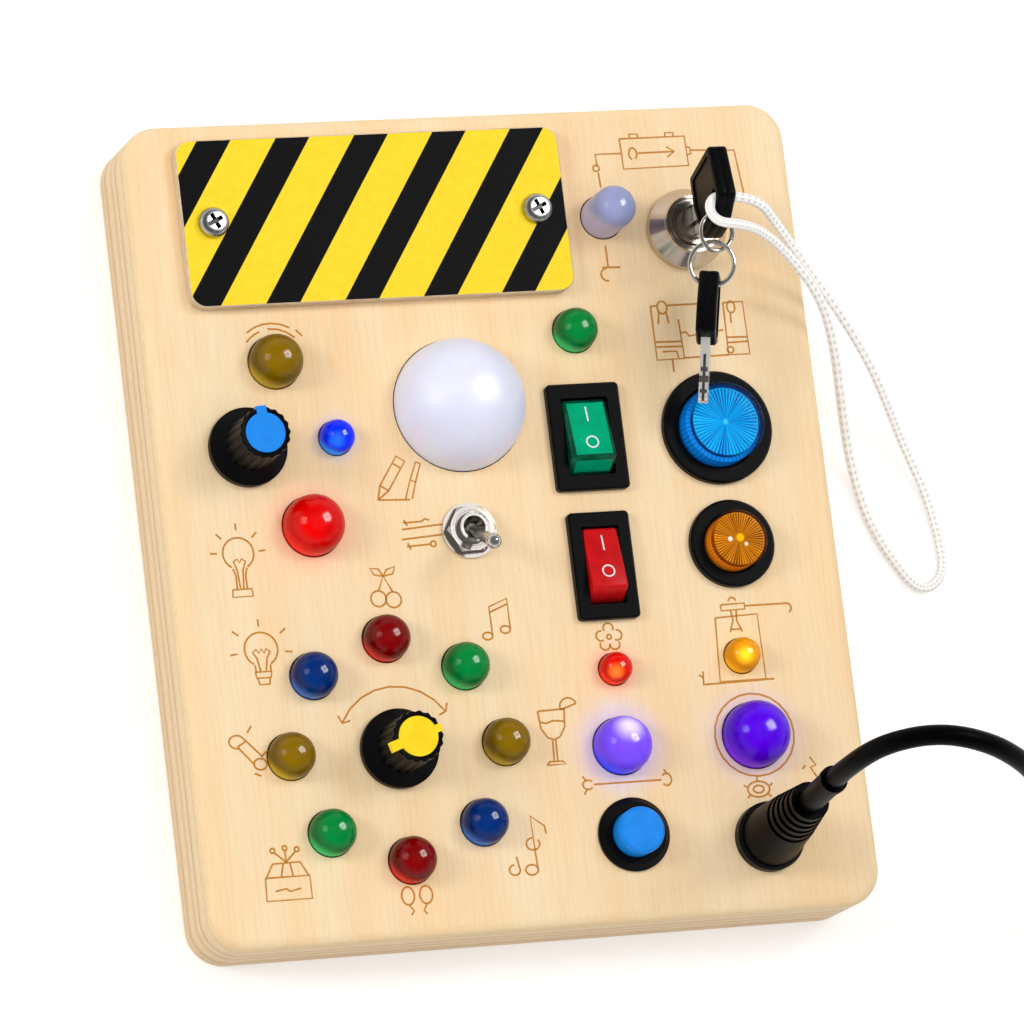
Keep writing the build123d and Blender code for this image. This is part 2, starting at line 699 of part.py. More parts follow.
# ---------------------------------------------------------------- rings
ring_hole = Vector(lock_x, lock_y + slot_low[0], shoulder_z + slot_low[1])
small_center = ring_hole + Vector(*small_ring_step)
large_center = small_center + Vector(*large_ring_step)


def ring_normal(along, roll):
    """The normal of a ring that holds the chain's direction, rolled about that direction."""
    along = along.normalized()
    across = (Vector(1, 0, 0) - along * along.X).normalized()
    return across.cross(along).rotate(Axis((0, 0, 0), along), roll)


def wire_ring(center, normal, radius):
    return Plane(center, z_dir=normal) * Torus(radius, ring_wire_radius)


small_radius = (small_center - ring_hole).length
small_normal = ring_normal(ring_hole - small_center, small_ring_roll)
large_normal = ring_normal(small_center - large_center, large_ring_roll)
parts["small_ring"] = wire_ring(small_center, small_normal, small_radius)
parts["large_ring"] = wire_ring(large_center, large_normal, large_ring_radius)

# ---------------------------------------------------------------- spare key, hung on the large ring
chain = (large_center - small_center).normalized()
hang_point = large_center + chain * large_ring_radius
up_key = Vector(*spare_direction).normalized()
lean_up = Vector(*spare_lean)
across_key = (lean_up - up_key * lean_up.dot(up_key)).normalized() * -1
through_key = across_key.cross(up_key)
spare_plane = Plane((0, 0, 0), x_dir=through_key, z_dir=up_key)
hang_local = across_key * slot_high[0] + up_key * slot_high[1]
spare_plane.origin = hang_point - hang_local
parts["spare_key"] = spare_plane * key_solid()

# ---------------------------------------------------------------- power socket
socket_bottom = face_z - socket_body_depth
bezel_top = face_z + socket_bezel_height
barrel_hole = barrel_radius + slide_clearance
socket = rod(socket_bezel_radius, face_z, bezel_top)
socket = chamfer(socket.faces().sort_by(Axis.Z)[-1].edges(), socket_bezel_chamfer)
socket += rod(socket_body_radius, socket_bottom, face_z)
socket -= rod(barrel_hole, socket_bottom + socket_floor_thickness, bezel_top + cut_margin)
socket += rod(center_pin_radius, socket_bottom, bezel_top - center_pin_drop)
parts["power_socket"] = Pos(socket_x, socket_y, 0) * socket
nut = hexagon(socket_nut_flats, under_z - socket_nut_thickness, under_z, socket_x, socket_y)
panel_nuts.append(nut - rod(socket_body_radius + shaft_clearance, floor_z, face_z, socket_x, socket_y))
parts["panel_nuts"] = Compound(panel_nuts)

# ---------------------------------------------------------------- power plug
plug_axis = Pos(socket_x, socket_y, bezel_top) * Rot(-plug_lean, 0, 0)
profile = [(0, -plug_foot_radius / 2), (plug_foot_radius, -plug_foot_radius / 2),
           (plug_foot_radius, plug_foot_height), (plug_cone_radius, plug_cone_length)]
rib_pitch = (plug_neck_length - plug_cone_length) / plug_rib_count
rib_taper = (plug_cone_radius - plug_neck_radius) / plug_rib_count
for i in range(plug_rib_count):
    start = plug_cone_length + rib_pitch * i
    groove_end = start + rib_pitch * plug_rib_share
    rib_radius = plug_cone_radius - rib_taper * (i + 1)
    profile += [(rib_radius - plug_rib_depth, start), (rib_radius - plug_rib_depth, groove_end)]
    profile += [(rib_radius, groove_end), (rib_radius, start + rib_pitch)]
profile += [(0, plug_neck_length)]
body = turned(profile)
sleeve_top = plug_neck_length + sleeve_length
body += rod(sleeve_radius, plug_neck_length, sleeve_top)
body += rod(sleeve_lip_radius, sleeve_top - sleeve_lip_length, sleeve_top)
body = plug_axis * body
plug_bottom = bezel_top + running_gap
below = block(plug_foot_radius * 4, plug_foot_radius * 4, floor_z, plug_bottom, socket_x, socket_y)
body -= below
barrel_bottom = bezel_top - barrel_length
barrel = rod(barrel_radius, barrel_bottom, plug_bottom, socket_x, socket_y)
barrel_bore_top = bezel_top - barrel_bore_margin
barrel -= rod(barrel_bore_radius, barrel_bottom - cut_margin, barrel_bore_top, socket_x, socket_y)
parts["power_plug"] = body + barrel
cord_exit = (plug_axis * Pos(0, 0, sleeve_top)).position

# ---------------------------------------------------------------- power cord
cord_points = [tuple(cord_exit)] + [(x, y, face_z + z) for x, y, z in cord_route]
cord, cord_path, cord_radii = tube(cord_points, cord_diameter / 2)
coil_foot = [(coil_inner_radius, 0), (coil_outer_radius, 0), (coil_outer_radius, coil_layers_height)]
coil_head = [(coil_top_radius, coil_height), (coil_top_radius - cord_diameter, coil_height),
             (coil_inner_radius, coil_layers_height)]
parts["power_cord_coil"] = turned(coil_foot + coil_head, coil_x, coil_y)
usb_x = coil_x + coil_outer_radius - cord_diameter / 2
usb_z = usb_body_height / 2
tail = Cylinder(cord_diameter / 2, tail_length, align=on_base)
tail = Pos(usb_x, coil_y, usb_z) * Rot(-90, 0, 0) * tail
parts["power_cord"] = Compound([cord, tail])

usb_start = coil_y + tail_length
shell_start = usb_start + usb_body_length
shell_bottom = usb_z - usb_shell_height / 2
shell_top = shell_bottom + usb_shell_height
usb = block(usb_body_width, usb_body_length, 0, usb_body_height, usb_x, usb_start + usb_body_length / 2)
usb = fillet(usb.edges(), usb_edge_radius)
shell_length = usb_shell_length + usb_shell_root
shell_y = shell_start + usb_shell_length - shell_length / 2
shell = block(usb_shell_width, shell_length, shell_bottom, shell_top, usb_x, shell_y)
mouth_width = usb_shell_width - 2 * usb_shell_wall
mouth_y = shell_start + usb_shell_length / 2
mouth = block(mouth_width, usb_shell_length, shell_bottom + usb_shell_wall, shell_top - usb_shell_wall,
              usb_x, mouth_y)
tongue_bottom = shell_top - usb_shell_wall - usb_tongue_height
tongue = block(mouth_width, usb_shell_length, tongue_bottom, shell_top - usb_shell_wall, usb_x, mouth_y)
tongue = Pos(0, -usb_shell_wall, 0) * tongue
parts["usb_plug"] = usb + (shell - mouth) + tongue

# ---------------------------------------------------------------- lanyard
lanyard_hole = (lock_x, lock_y + slot_high[0], shoulder_z + slot_high[1])
first = (lanyard_hole[0] - lanyard_end_gap, lanyard_hole[1], lanyard_hole[2])
last = (lanyard_hole[0] + lanyard_end_gap, lanyard_hole[1], lanyard_hole[2])
lanyard_points = [first] + [(x, y, face_z + z) for x, y, z in lanyard_route] + [last]
parts["lanyard"], lanyard_path, lanyard_radii = tube(lanyard_points, lanyard_diameter / 2)


# ---------------------------------------------------------------- sign plate and its screws
plate_top = face_z + plate_thickness
next_lamp_place, next_lamp_diameter = single_lamps["lavender_bullet_lamp"][:2]
plate_left = plate_left_margin - board_width / 2
plate_right = next_lamp_place[0] - next_lamp_diameter / 2 - plate_lamp_gap
plate_width = plate_right - plate_left
plate_x = (plate_left + plate_right) / 2
plate_y = board_height / 2 - plate_top_margin - plate_height / 2
screw_places = [(plate_x + side * (plate_width / 2 - plate_screw_margin), plate_y) for side in (-1, 1)]
plate = slab(plate_width, plate_height, plate_corner_radius, face_z, plate_top, plate_x, plate_y)
plate = chamfer(plate.faces().sort_by(Axis.Z)[-1].edges(), plate_edge_chamfer)
sign_screws = []
screw_top = plate_top + plate_screw_head_height
for x, y in screw_places:
    plate -= rod(plate_screw_radius + shaft_clearance, face_z - cut_margin, plate_top + cut_margin, x, y)
    screw = rod(plate_screw_head_radius, plate_top, screw_top)
    screw = fillet(screw.faces().sort_by(Axis.Z)[-1].edges(), plate_screw_head_height * head_round_share)
    for length, breadth in ((cross_length, cross_width), (cross_width, cross_length)):
        screw -= block(length, breadth, screw_top - cross_depth, screw_top + cut_margin)
    screw += rod(plate_screw_radius, under_z - plate_screw_end, plate_top)
    sign_screws.append(Pos(x, y, 0) * Rot(0, 0, plate_screw_turn) * screw)
parts["sign_plate"] = plate
parts["sign_screws"] = Compound(sign_screws)

# ---------------------------------------------------------------- back screws
edge_x = board_width / 2 - frame_wall / 2
edge_y = board_height / 2 - frame_wall / 2
side_y = board_height / 2 - back_screw_margin
back_screw_places = [(sx * edge_x, sy * side_y) for sx in (-1, 1) for sy in (-1, 0, 1)]
back_screw_places += [(0, sy * edge_y) for sy in (-1, 1)]


def back_screw(x, y, grow):
    """A countersunk screw, or with grow above zero the hole for it."""
    radius = back_screw_radius + grow
    head_radius = back_screw_head_radius + grow
    head = turned([(0, 0), (head_radius, 0), (radius, back_screw_head_depth), (0, back_screw_head_depth)])
    return Pos(x, y, 0) * (head + rod(radius, 0, back_screw_length + grow))


back_screws = []
for x, y in back_screw_places:
    screw = back_screw(x, y, 0)
    for length, breadth in ((back_cross_length, back_cross_width), (back_cross_width, back_cross_length)):
        screw -= block(length, breadth, -cut_margin, back_cross_depth, x, y)
    back_screws.append(screw)
parts["back_screws"] = Compound(back_screws)

# ---------------------------------------------------------------- circuit board
board_y = board_height / 2 - frame_wall - board_wall_gap - board_breadth / 2
board_bottom = floor_z + standoff_height
board_top = board_bottom + board_thickness
circuit = block(board_length, board_breadth, board_bottom, board_top, board_x, board_y)
for width, length, height, dx, dy in board_components:
    circuit += block(width, length, board_top, board_top + height, board_x + dx, board_y + dy)
standoffs = []
pin_bottom = floor_z - standoff_pin_depth
standoff_places = []
for sx in (-1, 1):
    for sy in (-1, 1):
        x = board_x + sx * (board_length / 2 - standoff_margin)
        y = board_y + sy * (board_breadth / 2 - standoff_margin)
        standoff_places.append((x, y))
        circuit -= rod(standoff_pin_radius + shaft_clearance, floor_z, board_top + cut_margin, x, y)
        pillar = rod(standoff_radius, floor_z, board_bottom, x, y)
        pillar += rod(standoff_pin_radius, pin_bottom, board_top, x, y)
        pillar += rod(standoff_radius, board_top, board_top + standoff_cap_height, x, y)
        standoffs.append(pillar)
parts["circuit_board"] = circuit
parts["board_standoffs"] = Compound(standoffs)

# ---------------------------------------------------------------- front panel, frame and back panel
front = slab(board_width, board_height, corner_radius, under_z, face_z)
front = fillet(front.faces().sort_by(Axis.Z)[-1].edges(), front_edge_radius)
holes = [(x, y, lamp_hole_radius(ring_lamp_diameter)) for x, y in ring_places]
holes += [(x, y, lamp_hole_radius(diameter)) for (x, y), diameter, lift in single_lamps.values()]
holes += [(x, y, pot_hole_radius) for name, works, x, y, angle, tabs in knobs]
holes += [(toggle_x, toggle_y, toggle_bush_radius + seat_clearance)]
holes += [(x, y, button_body_radius(cap_diameter) + seat_clearance)
          for (x, y), bezel_diameter, bezel_chamfer, cap_diameter, cap_height, edge in buttons.values()]
holes += [(lock_x, lock_y, lock_body_radius + seat_clearance)]
holes += [(socket_x, socket_y, socket_body_radius + seat_clearance)]
holes += [(x, y, plate_screw_radius + shaft_clearance) for x, y in screw_places]
for x, y, radius in holes:
    front -= rod(radius, under_z - cut_margin, face_z + cut_margin, x, y)
for name, y, bezel_width, opening_width in rockers:
    width, length = (size + 2 * seat_clearance for size in rocker_body_size(opening_width))
    front -= block(width, length, under_z - cut_margin, face_z + cut_margin, rocker_x, y)
parts["front_panel"] = front

inner_width = board_width - 2 * frame_wall
inner_height = board_height - 2 * frame_wall
frame_ring = slab(board_width, board_height, corner_radius, floor_z, under_z)
frame_ring -= slab(inner_width, inner_height, inner_corner_radius, 0, face_z)
back = slab(board_width, board_height, corner_radius, 0, floor_z)
back = fillet(back.faces().sort_by(Axis.Z)[0].edges(), back_edge_radius)
for x, y in back_screw_places:
    hole = back_screw(x, y, shaft_clearance)
    frame_ring -= hole
    back -= hole
for x, y in standoff_places:
    back -= rod(standoff_pin_radius + shaft_clearance, pin_bottom, floor_z + cut_margin, x, y)
parts["side_frame"] = frame_ring
parts["back_panel"] = back

# ---------------------------------------------------------------- write the files
os.makedirs("parts", exist_ok=True)
for name, shape in parts.items():
    export_step(shape, f"parts/{name}.step")

print("nodes:", len(parts))
for name, path, solid, diameter, radii in (
        ("power cord", cord_path, cord, cord_diameter, cord_radii),
        ("lanyard", lanyard_path, parts["lanyard"], lanyard_diameter, lanyard_radii)):
    expected = math.pi * (diameter / 2) ** 2 * path.length
    print(name, "length", round(path.length, 1), "radii", [round(radius, 1) for radius in radii])
    print(name, "volume", round(solid.volume, 1), "section x length", round(expected, 1))
print("cord leaves the plug at", cord_exit)
print("rings: hole", ring_hole, "small", small_center, small_normal, "large", large_center, large_normal)
print("spare key hangs at", hang_point, "thickness along", through_key)
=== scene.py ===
# %% [markdown]
# # A wooden busy board
# A plywood box with lamps, knobs, switches, lens buttons and a key lock on its face, and a power
# lead plugged into its corner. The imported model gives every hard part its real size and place.
# This script dresses those parts: wood, moulded plastic, tinted lamps, plated metal, two cords
# and the fine pieces that are only there to be looked at.

# %% Load the frame
import math

import bmesh
import bpy
from mathutils import Matrix, Vector


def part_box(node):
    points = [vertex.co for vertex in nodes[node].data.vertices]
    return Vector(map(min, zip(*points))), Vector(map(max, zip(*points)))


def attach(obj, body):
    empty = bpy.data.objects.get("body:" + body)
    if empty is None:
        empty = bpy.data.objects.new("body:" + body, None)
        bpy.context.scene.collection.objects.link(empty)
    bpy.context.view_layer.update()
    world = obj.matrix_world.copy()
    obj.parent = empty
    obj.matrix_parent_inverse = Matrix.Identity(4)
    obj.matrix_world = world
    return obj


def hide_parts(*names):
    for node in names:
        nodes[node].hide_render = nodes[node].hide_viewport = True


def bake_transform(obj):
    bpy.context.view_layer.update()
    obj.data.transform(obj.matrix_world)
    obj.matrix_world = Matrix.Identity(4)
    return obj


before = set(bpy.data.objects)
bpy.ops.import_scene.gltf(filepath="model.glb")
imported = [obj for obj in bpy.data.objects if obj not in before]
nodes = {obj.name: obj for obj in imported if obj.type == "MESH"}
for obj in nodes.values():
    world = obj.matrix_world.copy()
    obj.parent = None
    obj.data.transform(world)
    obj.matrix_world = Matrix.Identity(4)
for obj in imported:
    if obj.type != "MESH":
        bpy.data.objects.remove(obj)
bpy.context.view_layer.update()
MM = 0.001
face_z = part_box("front_panel")[1].z
print("the face is", round(face_z / MM, 1), "mm above the surface that the board lies on")


def mm(x, y, z=0.0):
    """A point given in millimetres, in metres."""
    return Vector((x * MM, y * MM, z * MM))


def over_face(x, y, height=0.0):
    """A point on the board's face, or some millimetres above it."""
    return Vector((x * MM, y * MM, face_z + height * MM))


def middle(node):
    """The middle of a CAD node's box."""
    low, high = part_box(node)
    return (low + high) / 2


def half_width(node):
    """Half of a CAD node's width, in millimetres."""
    low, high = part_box(node)
    return (high.x - low.x) / 2 / MM

# %% [markdown]
# ## The camera
# The board is seen from its front, a little from the left and from below its middle, through a
# long lens, so that its edges stay almost parallel. The camera is built from where it stands,
# where it looks and which way is up in its view, and each of the three can be changed alone.

# %% Camera
camera_place = mm(-508.2, -302.8, 1507.6)
look_along = Vector((0.3186, 0.1897, -0.9287)).normalized()
view_right = look_along.cross(Vector((0.0543, 0.9745, 0.2177))).normalized()
view_up = view_right.cross(look_along)

camera_data = bpy.data.cameras.new("camera")
camera_data.lens = 263.7
camera_data.sensor_width = 36.0
camera_data.clip_start = 0.1
camera_data.clip_end = 20.0
camera = bpy.data.objects.new("camera", camera_data)
turn = Matrix((view_right, view_up, -look_along)).transposed()
camera.matrix_world = Matrix.Translation(camera_place) @ turn.to_4x4()
bpy.context.scene.collection.objects.link(camera)
bpy.context.scene.camera = camera
print("the camera stands", round(camera_place.length, 2), "m from the board")

# %% [markdown]
# ## Helpers for colours and shader nodes
# Colours are written as the hex values of a paint chart and turned to the linear light that the
# renderer adds up. One function adds a node with its settings and its inputs, and one makes a
# material out of a finished shader. Patterns live on object coordinates, measured in real
# millimetres, so that grain and grit have their true size on every piece. Four patterns come back
# in many finishes: one coordinate alone, the distance from an axis, a spot that fades and
# mottled colour.

# %% Colours and nodes
def linear(hex_colour):
    """A #RRGGBB colour as linear RGBA."""
    channels = [int(hex_colour[i:i + 2], 16) / 255 for i in (1, 3, 5)]
    light = [c / 12.92 if c <= 0.04045 else ((c + 0.055) / 1.055) ** 2.4 for c in channels]
    return (*light, 1.0)


def add(tree, kind, inputs=None, stops=(), **settings):
    """One node. inputs maps a socket's name or number to a value, a colour or another node."""
    made = tree.nodes.new("ShaderNode" + kind)
    for name, value in settings.items():
        setattr(made, name, value)
    for name, value in (inputs or {}).items():
        socket = next(s for i, s in enumerate(made.inputs) if s.enabled and name in (i, s.name))
        if isinstance(value, bpy.types.Node):
            value = next(s for s in value.outputs if s.enabled)
        if isinstance(value, bpy.types.NodeSocket):
            tree.links.new(value, socket)
        else:
            socket.default_value = linear(value) if isinstance(value, str) else value
    for number, (position, colour) in enumerate(stops):
        band = made.color_ramp.elements
        stop = band[number] if number < 2 else band.new(position)
        stop.position = position
        stop.color = linear(colour)
    return made


def material(name, build, *choices):
    """A material whose surface is the shader that build(tree, *choices) returns."""
    made = bpy.data.materials.new(name)
    made.use_nodes = True
    made.node_tree.nodes.clear()
    add(made.node_tree, "OutputMaterial", {"Surface": build(made.node_tree, *choices)})
    return made


def cells(tree, width, length=None, height=None, centre=(0.0, 0.0, 0.0)):
    """Object coordinates counted in cells of a size in millimetres, from a centre in metres."""
    where = add(tree, "TexCoord").outputs["Object"]
    moved = add(tree, "VectorMath", {0: where, 1: centre}, operation="SUBTRACT")
    size = [1 / (side * MM) for side in (width, length or width, height or width)]
    return add(tree, "VectorMath", {0: moved, 1: size}, operation="MULTIPLY")

# %% Patterns
def part_of(tree, coordinates, axis):
    """One number of the texture coordinates, such as a point's height or a face's upward tilt."""
    where = add(tree, "TexCoord").outputs[coordinates]
    return add(tree, "SeparateXYZ", {0: where}).outputs[axis]


def round_axis(tree, place):
    """Coordinates taken apart, the same without their height, and the distance from the axis."""
    apart = add(tree, "SeparateXYZ", {0: place})
    flat = add(tree, "CombineXYZ", {"X": apart.outputs["X"], "Y": apart.outputs["Y"]})
    return apart, flat, add(tree, "VectorMath", {0: flat}, operation="LENGTH")


def fading_spot(tree, base, away, near, far, colour, strength=1.0, ease="SMOOTHSTEP"):
    """A colour laid over another up to the distance near, from where it fades out until far."""
    share = add(tree, "MapRange", {
        "Value": away, "From Min": near, "From Max": far, "To Min": strength, "To Max": 0.0},
        interpolation_type=ease)
    return add(tree, "Mix", {"Factor": share, "A": base, "B": colour}, data_type="RGBA")


def mottled(tree, place, detail, *stops):
    """Colours that drift into each other, as wood, dye and mouldings do on a small scale."""
    noise = add(tree, "TexNoise", {"Vector": place, "Scale": 1.0, "Detail": detail})
    return add(tree, "ValToRGB", {"Fac": noise}, stops=stops)

# %% [markdown]
# ## Helpers for pieces
# A new piece is modelled in a bmesh, already in its place, and its object stays at the origin.
# Riding on a body lets it move with the knob, button or key that it sits on. Round parts are a
# profile spun round an axis, flat ones an outline pulled out to a thickness, and printed or
# burnt marks are round lines pressed to a thin film.

# %% Objects and their bodies
smooth_angle = math.radians(35)


def show(name, shape, *finishes):
    """An object that shows a mesh or a bmesh in its finishes, smooth except at its sharp edges."""
    if isinstance(shape, bmesh.types.BMesh):
        bmesh.ops.remove_doubles(shape, verts=shape.verts, dist=0.002 * MM)
        bmesh.ops.recalc_face_normals(shape, faces=shape.faces)
        mesh = bpy.data.meshes.new(name)
        shape.to_mesh(mesh)
        shape.free()
    else:
        mesh = shape
        mesh.name = name
    for finish in finishes:
        mesh.materials.append(finish)
    mesh.shade_smooth()
    mesh.set_sharp_from_angle(angle=smooth_angle)
    made = bpy.data.objects.new(name, mesh)
    bpy.context.scene.collection.objects.link(made)
    return made


def settle(piece, body, slot, *replaced):
    """The piece rides on a body and may stand for CAD nodes; its slot is not used."""
    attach(piece, body)
    if replaced:
        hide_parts(*replaced)
    print(piece.name, "has", len(piece.data.polygons), "faces and rides on", body)


def dress(finish, *names):
    """CAD nodes get a material."""
    for name in names:
        nodes[name].data.materials.clear()
        nodes[name].data.materials.append(finish)
    print(finish.name, "on", ", ".join(names))

# %% Shapes
def spin(profile, centre, steps=64, shape=None):
    """Turns (radius, height) points, in millimetres over the face, about an upright axis."""
    shape = bmesh.new() if shape is None else shape
    verts = [shape.verts.new((centre.x + r * MM, centre.y, face_z + h * MM)) for r, h in profile]
    edges = [shape.edges.new(pair) for pair in zip(verts, verts[1:])]
    bmesh.ops.spin(shape, geom=verts + edges, cent=centre, axis=(0, 0, 1), angle=math.tau,
                   steps=steps, use_merge=True)
    return shape


def verts_of(operation):
    """The vertices that a bmesh operator has made."""
    return [item for item in operation["geom"] if isinstance(item, bmesh.types.BMVert)]


def plate(outline, low, high, rounding=0.0):
    """A plate that stands across X between two places, with its outline's corners rounded."""
    shape = bmesh.new()
    face = shape.faces.new([shape.verts.new((low * MM, y * MM, z * MM)) for y, z in outline])
    if rounding:
        bmesh.ops.bevel(shape, geom=list(face.verts), offset=rounding * MM, affect="VERTICES",
                        segments=4, profile=0.5, material=-1)
    grown = bmesh.ops.extrude_face_region(shape, geom=list(shape.faces))
    bmesh.ops.translate(shape, vec=((high - low) * MM, 0, 0), verts=verts_of(grown))
    bmesh.ops.recalc_face_normals(shape, faces=shape.faces)
    return shape


def arc(x, y, across, start, end, up=None, step=15.0):
    """Points on an ellipse's arc between two angles in degrees, in the units of its radii."""
    up = across if up is None else up
    count = max(3, round(abs(end - start) / step))
    angles = [math.radians(start + (end - start) * i / count) for i in range(count + 1)]
    return [(x + across * math.cos(a), y + up * math.sin(a)) for a in angles]


def ring(x, y, across, up=None):
    """Points all the way round."""
    return arc(x, y, across, 0, 360, up)


def pressed_lines(name, runs, width, film, place):
    """Round lines through runs of points, all in millimetres, pressed flat and put in place."""
    lines = bpy.data.curves.new(name, "CURVE")
    lines.dimensions = "3D"
    for run in runs:
        line = lines.splines.new("POLY")
        line.points.add(len(run) - 1)
        for point, (x, y) in zip(line.points, run):
            point.co = (x * MM, y * MM, 0.0, 1.0)
    lines.bevel_depth = width / 2 * MM
    lines.bevel_resolution = 1
    holder = bpy.data.objects.new(name, lines)
    mesh = bpy.data.meshes.new_from_object(holder)
    bpy.data.objects.remove(holder)
    mesh.transform(place @ Matrix.Diagonal((1, 1, film / (width / 2), 1)))
    return mesh

# %% [markdown]
# ## The wood
# The box is birch plywood under a thin satin varnish: almost white wood with fine straight grain
# from top to bottom, and short darker pores. On its sides the glued layers show as bands, lighter
# where the grain runs along and darker where it is cut across. Stretched noise draws grain well,
# because wood is long and thin in the same way, and one band of colours over the height makes the
# layers. One darker band in it is painted shade where the front edge begins to round. The mask
# between the two is the surface's own direction. Round some lamps the wood is tinted in their
# colours, as painted light from them.

# %% Plywood
# The glued layers, with a darker band at 0.86 that is painted shade where the front edge begins to
# round.
ply_layers_and_edge_shade = [  # share of the side's height, and colour
    (0.00, "#F3D9B0"), (0.10, "#EED0A4"), (0.15, "#F3DAB6"), (0.22, "#DFBA90"), (0.27, "#F0D6B0"),
    (0.38, "#F5DDB8"), (0.44, "#E6C496"), (0.52, "#F2D8B1"), (0.58, "#F5DDBA"), (0.62, "#D8B182"),
    (0.65, "#F0D4AA"), (0.78, "#F6DFBA"), (0.86, "#F0D1A0"), (0.90, "#F9DFB2"), (1.00, "#FADFB2"),
]
# Painted light: round these lamps the wood is tinted in their colour, as if their light fell on it.
painted_lamp_spills = [  # lamp, how far its light reaches over the wood in millimetres, strength, tint
    ("blue_violet_lamp", 13.5, 0.5, "#D8CCFF"), ("red_lamp", 13.0, 0.5, "#FFB9A0"),
    ("small_red_lamp", 8.5, 0.6, "#FFA890"), ("small_yellow_lamp", 8.5, 0.5, "#FFE08A"),
    ("small_blue_lamp", 8.0, 0.45, "#D8D4E8"), ("purple_lamp", 14.0, 0.45, "#DCC8F0"),
]


def plywood(tree):
    grain = add(tree, "TexNoise", {
        "Vector": cells(tree, 0.55, 16, 0.55), "Scale": 1.0, "Detail": 4.0, "Roughness": 0.6})
    long_grain = add(tree, "ValToRGB", {"Fac": grain}, stops=[
        (0.30, "#F6D8AB"), (0.50, "#FADFB6"), (0.70, "#FCE3BC")])
    warm = mottled(tree, cells(tree, 11, 70, 11), 2.0, (0.35, "#FFF6EA"), (0.65, "#FFFFFF"))
    face = add(tree, "Mix", {"Factor": 1.0, "A": long_grain, "B": warm},
               data_type="RGBA", blend_type="MULTIPLY")
    pores = add(tree, "TexNoise", {
        "Vector": cells(tree, 0.3, 3.5, 0.3), "Scale": 1.0, "Detail": 1.0})
    pore_mask = add(tree, "MapRange", {
        "Value": pores, "From Min": 0.66, "From Max": 0.78, "To Max": 0.35})
    face = add(tree, "Mix", {"Factor": pore_mask, "A": face, "B": "#D9B07A"}, data_type="RGBA")
    wander = add(tree, "TexNoise", {"Vector": cells(tree, 18, 18, 3), "Scale": 1.0, "Detail": 2.0})
    wander = add(tree, "MapRange", {"Value": wander, "To Min": -0.5 * MM, "To Max": 0.5 * MM})
    level = add(tree, "Math", {0: part_of(tree, "Object", "Z"), 1: wander}, operation="ADD")
    level = add(tree, "Math", {0: level, 1: face_z}, operation="DIVIDE")
    layers_and_edge_shade = add(tree, "ValToRGB", {"Fac": level}, stops=ply_layers_and_edge_shade)
    fibres = mottled(tree, cells(tree, 1.6, 1.6, 0.25), 3.0, (0.3, "#F1E8DC"), (0.7, "#FFFFFF"))
    sides = add(tree, "Mix", {"Factor": 1.0, "A": layers_and_edge_shade, "B": fibres},
                data_type="RGBA", blend_type="MULTIPLY")
    facing = add(tree, "Math", {0: part_of(tree, "Normal", "Z")}, operation="ABSOLUTE")
    facing = add(tree, "MapRange", {"Value": facing, "From Min": 0.35, "From Max": 0.8})
    colour = add(tree, "Mix", {"Factor": facing, "A": sides, "B": face}, data_type="RGBA")
    # Painted light from the lamps, laid over the wood's colour.
    for lamp, reach, strength, tint in painted_lamp_spills:
        place = cells(tree, reach, centre=middle(lamp))
        away = add(tree, "VectorMath", {0: place}, operation="LENGTH")
        colour = fading_spot(tree, colour, away, 0.35, 1.0, tint, strength, "SMOOTHERSTEP")
    relief = add(tree, "Bump", {"Height": grain, "Strength": 0.2, "Distance": 0.03 * MM})
    return add(tree, "BsdfPrincipled", {
        "Base Color": colour, "Roughness": 0.55, "Specular IOR Level": 0.25, "Normal": relief})


dress(material("birch plywood, satin varnish", plywood), "front_panel", "side_frame", "back_panel")

# %% [markdown]
# ## The hazard sign
# The sign is a thin plywood plate with a gloss print of slanted black and yellow stripes, and its
# cut edge is bare wood. A stripe is what is left of a slanted coordinate after whole periods are
# taken away, so one modulo draws all of them.

# %% Hazard sign
stripe_period = 17.6
stripe_width = 7.6
stripe_lean = 0.663           # sideways for each millimetre up
stripe_start = -36.25         # the left edge of one stripe, at the plate's middle height
sign_y = middle("sign_plate").y


def hazard_print(tree):
    steps = add(tree, "SeparateXYZ", {0: cells(tree, 1, centre=(0, sign_y, 0))})
    slant = add(tree, "Math", {0: steps.outputs["Y"], 1: stripe_lean}, operation="MULTIPLY")
    across = add(tree, "Math", {0: steps.outputs["X"], 1: slant}, operation="SUBTRACT")
    shifted = add(tree, "Math", {0: across, 1: stripe_start}, operation="SUBTRACT")
    rest = add(tree, "Math", {0: shifted, 1: stripe_period}, operation="FLOORED_MODULO")
    black = add(tree, "Math", {0: rest, 1: stripe_width}, operation="LESS_THAN")
    yellow = mottled(tree, cells(tree, 2), 3.0, (0.3, "#FBD829"), (0.7, "#FFE032"))
    ink = add(tree, "Mix", {"Factor": black, "A": yellow, "B": "#0B0B0D"}, data_type="RGBA")
    upward = part_of(tree, "Normal", "Z")
    printed = add(tree, "Math", {0: upward, 1: 0.9}, operation="GREATER_THAN")
    bare = mottled(tree, cells(tree, 2.5, 2.5, 0.3), 2.0, (0.35, "#C9B08C"), (0.65, "#E3D0B2"))
    colour = add(tree, "Mix", {"Factor": printed, "A": bare, "B": ink}, data_type="RGBA")
    return add(tree, "BsdfPrincipled", {
        "Base Color": colour, "Roughness": 0.45, "Specular IOR Level": 0.12})


dress(material("hazard print on plywood", hazard_print), "sign_plate")

# %% [markdown]
# ## Black mouldings
# Bezels, knobs, keys and sockets are black ABS from a finely spark-eroded mould, which gives a
# satin sheen and a faint grain. The plugs and the lead are softer PVC, a shade duller. Real black
# plastic is a very dark grey, and its grain of about 0.15 mm is drawn a little coarser so that it
# shows.

# %% Black plastics
gloss_drift = 0.05


